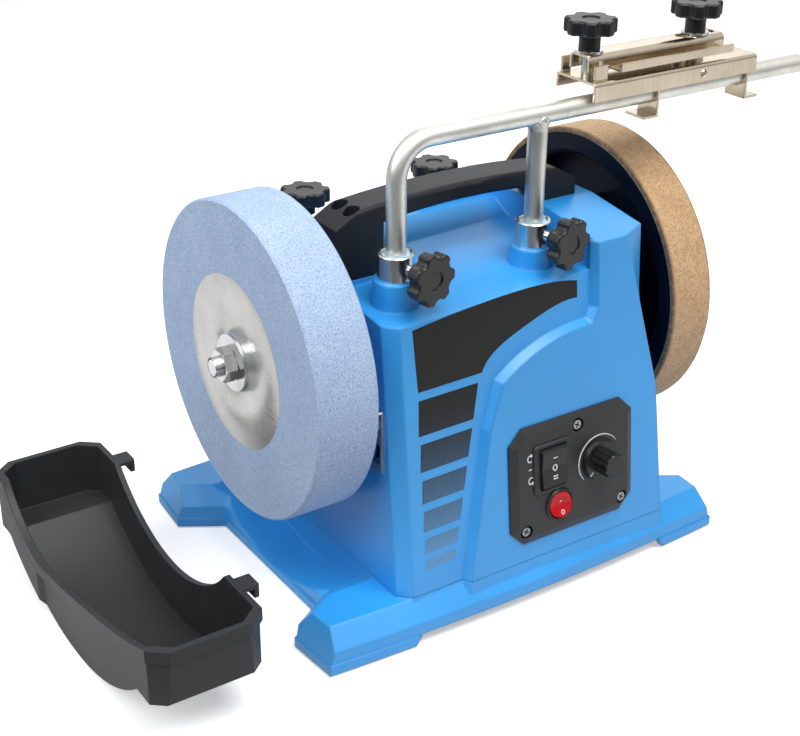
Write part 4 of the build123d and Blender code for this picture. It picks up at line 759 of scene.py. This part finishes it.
def ruled(low: np.ndarray, high: np.ndarray, rows: int = 2) -> np.ndarray:
    """Flat sheet between two curves with as many points each: a straight line joins each pair.

    Args:
        low: points of the lower curve, left to right.
        high: points of the upper curve, left to right.
        rows: points along each joining line.

    Returns:
        Grid of flat points, one row for each pair.
    """
    share = np.linspace(0.0, 1.0, rows)[None, :, None]
    return low[:, None] * (1.0 - share) + high[:, None] * share


def whole_turn(steps: int) -> np.ndarray:
    """Angles of even steps round a whole turn, in radians."""
    return np.linspace(0.0, 2.0 * np.pi, steps, endpoint=False)


def spun(profile: np.ndarray, wave: Union[float, np.ndarray] = 0.0, steps: int = 96) -> np.ndarray:
    """Surface of revolution about the main shaft: (x, r + wave) turned through a whole circle.

    Args:
        profile: points (x, r) in millimetres, with x growing where the surface faces outwards.
        wave: amounts added to r, one number or one for each step and point.
        steps: steps of the turn.

    Returns:
        Grid of points in metres, one row for each step.
    """
    turn = whole_turn(steps)[:, None]
    r = profile[None, :, 1] + wave
    x = np.broadcast_to(profile[None, :, 0], (steps, len(profile)))
    return place(np.stack([x, r * np.cos(turn), SHAFT_Z + r * np.sin(turn)], -1))


class Assembly:
    """A sub-assembly: finishes for its nodes by name pattern, and the pieces that it adds."""

    finishes: ClassVar[dict[str, Finish]] = {}

    def dress(self) -> None:
        """Gives each of the sub-assembly's nodes its finish."""
        for pattern, finish in self.finishes.items():
            for name in fnmatch.filter(frame["nodes"], pattern):
                for slot in frame["nodes"][name].material_slots:
                    slot.material = finish.material

    def build(self) -> None:
        """Adds the sub-assembly's own pieces; a plain one has none."""


@dataclass
class Housing(Assembly):
    """Blue moulding with its handle and feet, and the print on its front wall."""

    finishes: ClassVar[dict[str, Finish]] = {
        "housing": Finish.BLUE,
        "base": Finish.BLUE,
        "bottom_cover": Finish.BLACK,
        "carry_handle": Finish.HANDLE,
        "cord_gland": Finish.BLACK,
        "rubber_foot_*": Finish.RUBBER,
        "cover_screws": Finish.PLATE,
        "handle_screws": Finish.PLATE,
        "hanger_screws": Finish.PLATE,
        "trough_hangers": Finish.BRIGHT,
    }
    proud: float = 0.08
    top: tuple = ((-81.4, 173.1), (-33.3, 178.4), (-3.8, 180.0), (26.6, 178.8), (39.8, 176.4))
    inner: tuple = ((-33.6, 135.2), (-29.5, 141.4), (-12.1, 152.3), (10.9, 160.8), (39.7, 165.6))
    foot_left: Pair = (-79.5, 134.4)
    field_steps: tuple = (17, 33, 4)
    bars: tuple = ((106.6, 129.0), (83.4, 101.2), (62.6, 77.6), (43.6, 57.4), (28.8, 39.0), (18.0, 24.8))
    bar_left: Pair = (-80.6, -79.4)
    bar_steps: int = 9
    right_line: tuple = ((-58.6, 18.0), (-36.4, 130.0))
    rise: float = 0.6
    fade: Pair = (25.0, 125.0)
    pale: Colour = (0.12, 0.31, 0.58)

    def build(self) -> None:
        """Prints the black field and the fading bars."""
        straight, curved, rows = self.field_steps
        foot = line(self.foot_left, self.inner[0], straight)
        low = np.concatenate([foot[:-1], through(self.inner, curved)])
        field = ruled(low, through(self.top, len(low)), rows)
        piece("front_print_field", [FRONT.points(field, self.proud)], "housing", Finish.FILM.material,
              smooth=False)
        low_z, high_z = (float(FRONT.points(np.array([0.0, h]))[2]) for h in self.fade)
        fading = FadingInk("fading_film", Finish.FILM.value.colour, self.pale, low_z, high_z).material()
        (x0, h0), (x1, h1) = self.right_line
        for number, (low_h, high_h) in enumerate(self.bars, 1):
            right = [x0 + (h - h0) * (x1 - x0) / (h1 - h0) for h in (low_h, high_h)]
            foot = line((self.bar_left[0], low_h), (right[0], low_h + self.rise), self.bar_steps)
            head = line((self.bar_left[1], high_h), (right[1], high_h + self.rise), self.bar_steps)
            bar = FRONT.points(ruled(foot, head), self.proud)
            piece(f"front_print_bar_{number}", [bar], "housing", fading, smooth=False)


@dataclass
class ControlPanel(Assembly):
    """Black panel with its switches and speed knob, everything printed on them, and painted shade on its
    screw heads.
    """

    finishes: ClassVar[dict[str, Finish]] = {
        "control_panel": Finish.PANEL,
        "direction_switch": Finish.PANEL,
        "direction_rocker": Finish.KNOB,
        "power_switch": Finish.KNOB,
        "power_rocker": Finish.RED,
        "speed_knob": Finish.KNOB,
        "potentiometer": Finish.BLACK,
        "pot_shaft": Finish.PLATE,
        "control_board": Finish.BOARD,
        "panel_screws": Finish.SCREW,
    }
    proud: float = 0.06
    stroke: float = 0.8
    ring_steps: int = 40
    bar_steps: int = 5
    rocker_at: Pair = (10.9, 64.0)
    rocker_low: float = 2.8
    rocker_slope: float = 2.8 / 24.0
    rocker_ring: Pair = (1.5, 1.9)
    rocker_bar: float = 1.8
    rocker_bars: tuple = (7.0, -5.5, -7.2)
    power_at: Pair = (16.2, 36.0)
    power_low: float = 2.6
    power_pivot: float = -1.0
    power_slope: float = 2.0 / 16.5
    power_tilt: float = 8.0
    power_ring: tuple = ((0.6, -5.2), (1.1, 1.3))
    power_bar: tuple = ((-0.7, 2.0), (0.9, 2.4))
    power_strokes: Pair = (0.75, 0.7)
    speed_at: Pair = (49.0, 57.5)
    scale_r: float = 16.7
    scale_turn: Pair = (221.0, 35.0)
    scale_width: Pair = (0.3, 1.05)
    scale_steps: int = 64
    skirt_z: float = 3.3
    pointer: tuple = (220.0, 9.8, 13.3)
    marks_x: float = -17.1
    arrows: tuple = ((0.0, 9.6, 310.0, 30.0), (0.5, -5.4, 50.0, 345.0))
    arrow_r: Pair = (1.9, 2.2)
    arrow_widths: tuple = (1.0,) * 16 + (2.9, 2.2, 1.4, 0.1)
    dash: tuple = ((-1.2, 2.1), (1.2, 2.5))
    screws: tuple = ((32.0, 85.6), (68.0, 24.5), (-9.6, 24.2))
    screw_top: float = -0.8
    cross: Pair = (4.2, 0.9)
    cross_turn: Pair = (0.9, 0.436)

    def scale(self) -> None:
        """Prints the speed scale, an arc that is thickest in its middle, and the direction marks.

        The marks lie marks_x from the rocker's middle: two arrows, arcs that end in a head, and a dash.
        """
        thin, thick = self.scale_width
        bulge = np.sin(np.linspace(0.0, np.pi, self.scale_steps))
        path = arc(self.speed_at, (self.scale_r, self.scale_r), *self.scale_turn, self.scale_steps)
        strips = [ribbon(path, thin + (thick - thin) * bulge)]
        x, h = self.rocker_at[0] + self.marks_x, self.rocker_at[1]
        for right, up, start, end in self.arrows:
            path = arc((x + right, h + up), self.arrow_r, start, end, len(self.arrow_widths))
            strips.append(ribbon(path, self.stroke * np.array(self.arrow_widths)))
        ends = [(x + right, h + up) for right, up in self.dash]
        strips.append(ribbon(line(*ends), self.stroke))
        piece("panel_marks", [FACE.points(s, self.proud) for s in strips], "housing", Finish.WHITE.material,
              smooth=False)

    def rocker_marks(self) -> None:
        """Prints I, O and II on the direction rocker, whose face rises from its middle to both ends."""
        x, h = self.rocker_at
        ring = arc((0.0, 0.0), self.rocker_ring, 0.0, 360.0, self.ring_steps)
        bar = line((-self.rocker_bar, 0.0), (self.rocker_bar, 0.0), self.bar_steps)
        strips = [ribbon(ring, self.stroke)]
        strips += [ribbon(bar + (0.0, up), self.stroke) for up in self.rocker_bars]
        grids = [
            FACE.points(s + (x, h), self.rocker_low + self.rocker_slope * np.abs(s[..., 1]) + self.proud)
            for s in strips
        ]
        piece("direction_rocker_marks", grids, "direction_rocker", Finish.WHITE.material,
              smooth=False)

    def power_marks(self) -> None:
        """Prints I and O on the mains rocker, on the two tilted halves of its face."""
        x, h = self.power_at
        t = -math.radians(self.power_tilt)
        ring_share, bar_share = self.power_strokes
        strips = [
            ribbon(arc(*self.power_ring, 0.0, 360.0, self.ring_steps), self.stroke * ring_share),
            ribbon(line(*self.power_bar, self.bar_steps), self.stroke * bar_share),
        ]
        grids = []
        for s in strips:
            d = s[..., 1]
            rise = self.power_low + self.power_slope * np.abs(d) + self.proud
            flat = np.stack([s[..., 0] + x, h + d * math.cos(t) - rise * math.sin(t)], -1)
            grids.append(FACE.points(flat, self.power_pivot + d * math.sin(t) + rise * math.cos(t)))
        piece("power_rocker_marks", grids, "power_rocker", Finish.WHITE.material, smooth=False)

    def speed_mark(self) -> None:
        """Prints the speed knob's pointer, a stroke along a radius of its skirt."""
        turn, near, far = self.pointer
        ray = np.array([math.cos(math.radians(turn)), math.sin(math.radians(turn))])
        mark = ribbon(np.array(self.speed_at) + np.outer((near, far), ray), self.stroke)
        pointer = FACE.points(mark, self.skirt_z + self.proud)
        piece("speed_pointer", [pointer], "speed_knob", Finish.WHITE.material, smooth=False)

    def recess_shades(self) -> None:
        """Paints each screw's cross recess dark, as painted shade; cross_turn is the cosine and sine of the
        angle it stands at.
        """
        length, width = self.cross
        cosine, sine = self.cross_turn
        level = line((-length / 2.0, 0.0), (length / 2.0, 0.0), 3)
        tilt = np.array([[cosine, -sine], [sine, cosine]])
        arms = (level, level[:, ::-1])
        strips = [ribbon(arm @ tilt + screw, width) for screw in self.screws for arm in arms]
        grids = [FACE.points(s, self.screw_top + self.proud) for s in strips]
        piece("panel_screw_recess_shades", grids, "housing", Finish.RECESS.material, smooth=False)

    def build(self) -> None:
        """Adds the prints, the knob's pointer and the painted shade of each screw's cross recess."""
        self.scale()
        self.rocker_marks()
        self.power_marks()
        self.speed_mark()
        self.recess_shades()


@dataclass
class StoneSide(Assembly):
    """Grinding stone on its shaft, with the foil disc and the shaft's threaded end."""

    finishes: ClassVar[dict[str, Finish]] = {
        "grinding_stone": Finish.STONE,
        "stone_flange": Finish.PLATE,
        "clamp_washers": Finish.BRIGHT,
        "stone_nut": Finish.BRIGHT,
        "main_shaft": Finish.BRIGHT,
        "shaft_bushes": Finish.BRONZE,
        "shaft_circlip": Finish.PLATE,
    }
    face_x: float = -148.0
    foil_r: Pair = (18.4, 55.0)
    foil_t: float = 0.12
    foil_edge: float = 0.1
    thread_x: Pair = (-162.9, -158.6)
    thread_r: float = 6.02
    pitch: float = 1.5
    thread_h: float = 0.4
    thread_points: int = 40
    thread_steps: int = 48

    def build(self) -> None:
        """Lays the foil and cuts the thread, whose radius swings once along a pitch and once round a turn."""
        inner, outer = self.foil_r
        x, e = self.face_x - self.foil_t, self.foil_edge
        profile = np.array([(x + e, inner), (x, inner + e), (x, outer - 2.0 * e), (x + e, outer)])
        piece("stone_foil", [spun(profile)], "spindle", Finish.FOIL.material, (True, False))
        x = np.linspace(*self.thread_x, self.thread_points)
        turn = whole_turn(self.thread_steps)[:, None]
        swing = 0.5 + 0.5 * np.cos(2.0 * np.pi * x[None, :] / self.pitch - turn)
        profile = np.stack([x, np.full_like(x, self.thread_r)], -1)
        thread = spun(profile, swing * self.thread_h, self.thread_steps)
        piece("shaft_thread", [thread], "spindle", Finish.BRIGHT.material, (True, False))


@dataclass
class HoningSide(Assembly):
    """Honing wheel with its leather band."""

    finishes: ClassVar[dict[str, Finish]] = {
        "honing_wheel": Finish.WHEEL,
        "honing_nut": Finish.BRIGHT,
        "leather_band": Finish.SUEDE,
    }
    band_r: Pair = (96.05, 100.0)
    edge: float = 1.3
    edge_points: int = 7
    tread_points: int = 24
    steps: int = 240
    wave: float = 0.25
    ripples: tuple = ((5.0, 2.0), (11.0, -5.0), (23.0, 0.0))

    def build(self) -> None:
        """Wraps the leather: a band with rounded edges whose tread waves slowly along and across it.

        Each ripple has its number of waves round the turn, and its shift in radians across the band.
        """
        (x0, x1), (r0, r1), e = BAND_X, self.band_r, self.edge
        left = arc((x0 + e, r1 - e), (e, e), 180.0, 90.0, self.edge_points)
        right = arc((x1 - e, r1 - e), (e, e), 90.0, 0.0, self.edge_points)
        tread = line((x0 + e, r1), (x1 - e, r1), self.tread_points)[1:-1]
        profile = np.concatenate([[(x0, r0)], left, tread, right, [(x1, r0)]])
        turn = whole_turn(self.steps)[:, None]
        across = (profile[None, :, 0] - x0) / (x1 - x0)
        outer = (profile[None, :, 1] - r0) / (r1 - r0)
        ripple = sum(np.sin(waves * turn + shift * across) for waves, shift in self.ripples)
        wave = -self.wave * outer * (0.5 + ripple / (2.0 * len(self.ripples)))
        leather = spun(profile, wave, self.steps)
        band = piece("leather_tread", [leather], "spindle", Finish.SUEDE.material, (True, True))
        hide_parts("leather_band")


class Drive(Assembly):
    """Motor with its bracket, shaft and friction roller."""

    finishes: ClassVar[dict[str, Finish]] = {
        "motor": Finish.MOTOR,
        "motor_bracket": Finish.PLATE,
        "bracket_screws": Finish.PLATE,
        "motor_shaft": Finish.PLATE,
        "drive_roller": Finish.RUBBER,
    }


@dataclass
class ToolSupport(Assembly):
    """Support bar with its welded leg, the sleeves that hold it, and their star knobs."""

    finishes: ClassVar[dict[str, Finish]] = {
        "support_bar": Finish.BAR,
        "support_leg": Finish.LEG,
        "collar_*": Finish.CHROME,
        "sleeve_liners": Finish.LINER,
        "clamp_screw_*": Finish.BRIGHT,
        "star_knob_*": Finish.KNOB,
    }
    leg_at: Pair = (26.2, -64.0)
    bar_z: float = 301.3
    rod_r: float = 6.0
    bead_r: float = 1.1
    bead_steps: int = 120
    ring_steps: int = 12
    saddle: float = 0.02
    ripple: Pair = (0.12, 26.0)

    def build(self) -> None:
        """Lays the weld: a bead round the line where the leg meets the bar.

        Both rods have the radius R, so the line lies R times the cosine below the bar's axis; saddle rounds
        it where the cosine changes sign. The bead's circle grows and shrinks a little along it, as weld
        ripples do: ripple is the share of its radius, and how often round the leg.
        """
        turn = whole_turn(self.bead_steps)
        r = self.rod_r
        path = np.stack([
            self.leg_at[0] + r * np.cos(turn),
            self.leg_at[1] + r * np.sin(turn),
            self.bar_z - r * np.sqrt(np.cos(turn) ** 2 + self.saddle),
        ], -1)
        along = np.roll(path, -1, 0) - np.roll(path, 1, 0)
        along /= np.linalg.norm(along, axis=1, keepdims=True)
        out = np.stack([np.cos(turn), np.sin(turn), np.zeros_like(turn)], -1)
        side = np.cross(out, along)
        ring = whole_turn(self.ring_steps)
        share, waves = self.ripple
        size = self.bead_r * (1.0 + share * np.sin(waves * turn))[:, None, None]
        tube = path[:, None] + size * (
            np.cos(ring)[None, :, None] * out[:, None] + np.sin(ring)[None, :, None] * side[:, None]
        )
        piece("leg_weld", [place(tube)], "support", Finish.LEG.material, (True, True))


class Jig(Assembly):
    """Sheet-metal jig on the bar, with its clamp channel, studs and knobs."""

    finishes: ClassVar[dict[str, Finish]] = {
        "jig_base": Finish.NICKEL,
        "jig_clamp": Finish.NICKEL,
        "jig_studs": Finish.PLATE,
        "jig_washers": Finish.BRIGHT,
        "jig_knob_*": Finish.KNOB,
    }


@dataclass
class Trough(Assembly):
    """Water trough that stands beside the machine, and the swelling of its outer rim."""

    finishes: ClassVar[dict[str, Finish]] = {"water_trough": Finish.TROUGH}
    middle: Pair = (-234.5, -10.0)
    wall: Pair = (-34.5, -32.2)
    rim: tuple = (
        (24.0, 38.7), (37.0, 38.1), (51.2, 39.9), (65.0, 44.5), (78.5, 52.1), (90.1, 62.2), (97.0, 71.0),
    )
    rim_end: float = 109.2
    rim_steps: tuple = (40, 5)
    band: float = 8.6
    lift: float = 0.05
    corner: float = 0.7
    swell_at: tuple = (30.0, 48.0, 106.6, 109.2)
    swell: tuple = (1.1, 2.55, 2.55, 1.1)

    def build(self) -> None:
        """Swells the far part of the outer rim: the rim's section, wider or narrower, along its top edge."""
        curved, level = self.rim_steps
        end = (self.rim_end, self.rim[-1][1])
        y, z = np.concatenate([through(self.rim, curved), line(self.rim[-1], end, level)[1:]]).T
        outer, inner = self.wall
        out = outer - np.interp(y, self.swell_at, self.swell)
        top, foot = z + self.lift, z - self.band
        hidden = np.full_like(out, inner)
        x = np.stack([hidden, out + self.corner, out, out, hidden], -1)
        height = np.stack([top, top, top - self.corner, foot, foot], -1)
        section = np.stack([x, np.broadcast_to(y[:, None], x.shape), height], -1) + (*self.middle, 0.0)
        heart = np.broadcast_to(section.mean(1, keepdims=True), section.shape)
        closed = place(np.concatenate([heart[:1], section, heart[-1:]]))
        piece("trough_rim_swelling", [closed], "trough", Finish.TROUGH.material,
              (False, True), smooth=False)


@dataclass
class Studio:
    """Pale floor, soft lamps and the photograph's camera.

    A lamp has its name, place, size and power. Floor has one value for the camera and one for all other rays,
    glow one for the camera and one for reflections.
    """

    eye: tuple = (-0.49832, -0.71766, 0.55686)
    azimuth: float = 33.857
    elevation: float = 26.543
    roll: float = -0.48
    focal_px: float = 1483.3
    width_px: float = 800.0
    sensor: float = 36.0
    near: float = 0.01
    lamps: tuple = (
        ("key", (0.15, -1.1, 2.45), 1.8, 64.0),
        ("fill", (-1.4, 0.05, 1.35), 1.6, 22.0),
        ("back", (0.95, 1.15, 1.05), 1.2, 3.0),
    )
    aim: tuple = (0.0, 0.0, 0.13)
    ambient: float = 0.17
    horizon: float = 0.42
    height: Pair = (0.02, 0.5)
    reach: float = 6.0
    floor: Pair = (0.93, 0.72)
    glow: Pair = (0.44, 0.21)
    # Painted shade on the floor for all rays but the camera's: darker towards the front left over this
    # stretch of x + y, down to the least share below.
    painted_shade_span: Pair = (-0.75, -0.3)
    painted_shade_level: float = 0.12

    def camera(self) -> None:
        """Sets the camera: it looks along its azimuth and elevation, and rolls about its line of sight."""
        data = bpy.data.cameras.new("photo_camera")
        data.sensor_fit = "HORIZONTAL"
        data.sensor_width = self.sensor
        data.lens = self.focal_px / self.width_px * self.sensor
        data.clip_start = self.near
        camera = bpy.data.objects.new("photo_camera", data)
        turn = Matrix.Rotation(-math.radians(self.azimuth), 4, "Z")
        tip = Matrix.Rotation(math.radians(90.0 - self.elevation), 4, "X")
        roll = Matrix.Rotation(-math.radians(self.roll), 4, "Z")
        camera.matrix_world = Matrix.Translation(self.eye) @ turn @ tip @ roll
        bpy.context.scene.collection.objects.link(camera)
        bpy.context.scene.camera = camera

    def lights(self) -> None:
        """Hangs the soft lamps, each turned to the machine."""
        for name, at, size, watts in self.lamps:
            data = bpy.data.lights.new(name, "AREA")
            data.shape = "DISK"
            data.size = size
            data.energy = watts
            lamp = bpy.data.objects.new(name, data)
            look = Vector(self.aim) - Vector(at)
            lamp.matrix_world = Matrix.Translation(at) @ look.to_track_quat("-Z", "Y").to_matrix().to_4x4()
            bpy.context.scene.collection.objects.link(lamp)

    def seen(self, graph: Graph, direct: Term, mirrored: Term) -> Value:
        """Tells rays that look at the background from those that light the machine.

        Args:
            graph: the graph that asks.
            direct: the value for rays from the camera.
            mirrored: the value for rays from a reflection.

        Returns:
            One of the two values, or zero for a ray that only brings light.
        """
        kinds = ("Is Camera Ray", "Is Glossy Ray")
        camera, glossy = (graph.node("ShaderNodeLightPath", output=kind) for kind in kinds)
        return camera * direct + glossy * mirrored

    def sky(self) -> None:
        """Sets the world: pale to the camera, brighter with height in reflections, and else a low light."""
        world = bpy.data.worlds.new("studio_world")
        world.use_nodes = True
        graph = Graph(world.node_tree)
        rise = graph.ramp(graph.axis("Z", "Generated"), *self.height)
        mirrored = self.horizon + rise * (1.0 - self.horizon)
        strength = self.ambient + self.seen(graph, 1.0 - self.ambient, mirrored - self.ambient)
        light = graph.node("ShaderNodeBackground", {}, {"Strength": strength})
        graph.add("ShaderNodeOutputWorld", {}, {"Surface": light})
        bpy.context.scene.world = world

    def ground(self) -> None:
        """Lays the floor: pale to the camera, and for all other rays dimmed in front at left by painted
        shade.
        """
        side = np.array([-self.reach, self.reach])
        x, y = np.meshgrid(side, side, indexing="ij")
        corners = np.stack([x, y, 0.0 * x], -1).reshape(-1, 3)
        mesh = bpy.data.meshes.new("floor")
        mesh.from_pydata(corners.tolist(), [], grid_faces(2, 2, False, False).tolist())
        (bright, dull), (shown, mirrored) = self.floor, self.glow
        paint = Paint("studio_floor")
        # Painted shade: for reflections and bounced light the floor dims towards the front left.
        lit = self.painted_shade_level + paint.ramp(paint.axis("X") + paint.axis("Y"), *self.painted_shade_span) * (1.0 - self.painted_shade_level)
        pale = paint.node("ShaderNodeBsdfDiffuse", {}, {"Color": (bright, bright, bright, 1.0)})
        dim = paint.node("ShaderNodeBsdfDiffuse", {}, {"Color": lit * dull})
        watched = paint.node("ShaderNodeLightPath", output="Is Camera Ray")
        matt = paint.node("ShaderNodeMixShader", {}, {0: watched, 1: dim, 2: pale})
        white = paint.node("ShaderNodeEmission", {}, {"Strength": self.seen(paint, shown, lit * mirrored)})
        mesh.materials.append(paint.close(paint.node("ShaderNodeAddShader", {}, {0: matt, 1: white})))
        floor = bpy.data.objects.new("floor", mesh)
        bpy.context.scene.collection.objects.link(floor)

    def build(self) -> None:
        """Builds the camera, the lamps, the world and the floor."""
        self.camera()
        self.lights()
        self.sky()
        self.ground()
        bpy.context.scene.view_settings.view_transform = "Standard"


def main() -> None:
    """Builds the studio, then dresses and builds the sub-assemblies."""
    logging.basicConfig(level=logging.INFO, format="%(name)s: %(message)s")
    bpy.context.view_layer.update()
    Studio().build()
    for kind in (Housing, ControlPanel, StoneSide, HoningSide, Drive, ToolSupport, Jig, Trough):
        assembly = kind()
        assembly.dress()
        assembly.build()


if __name__ == "__main__":
    main()
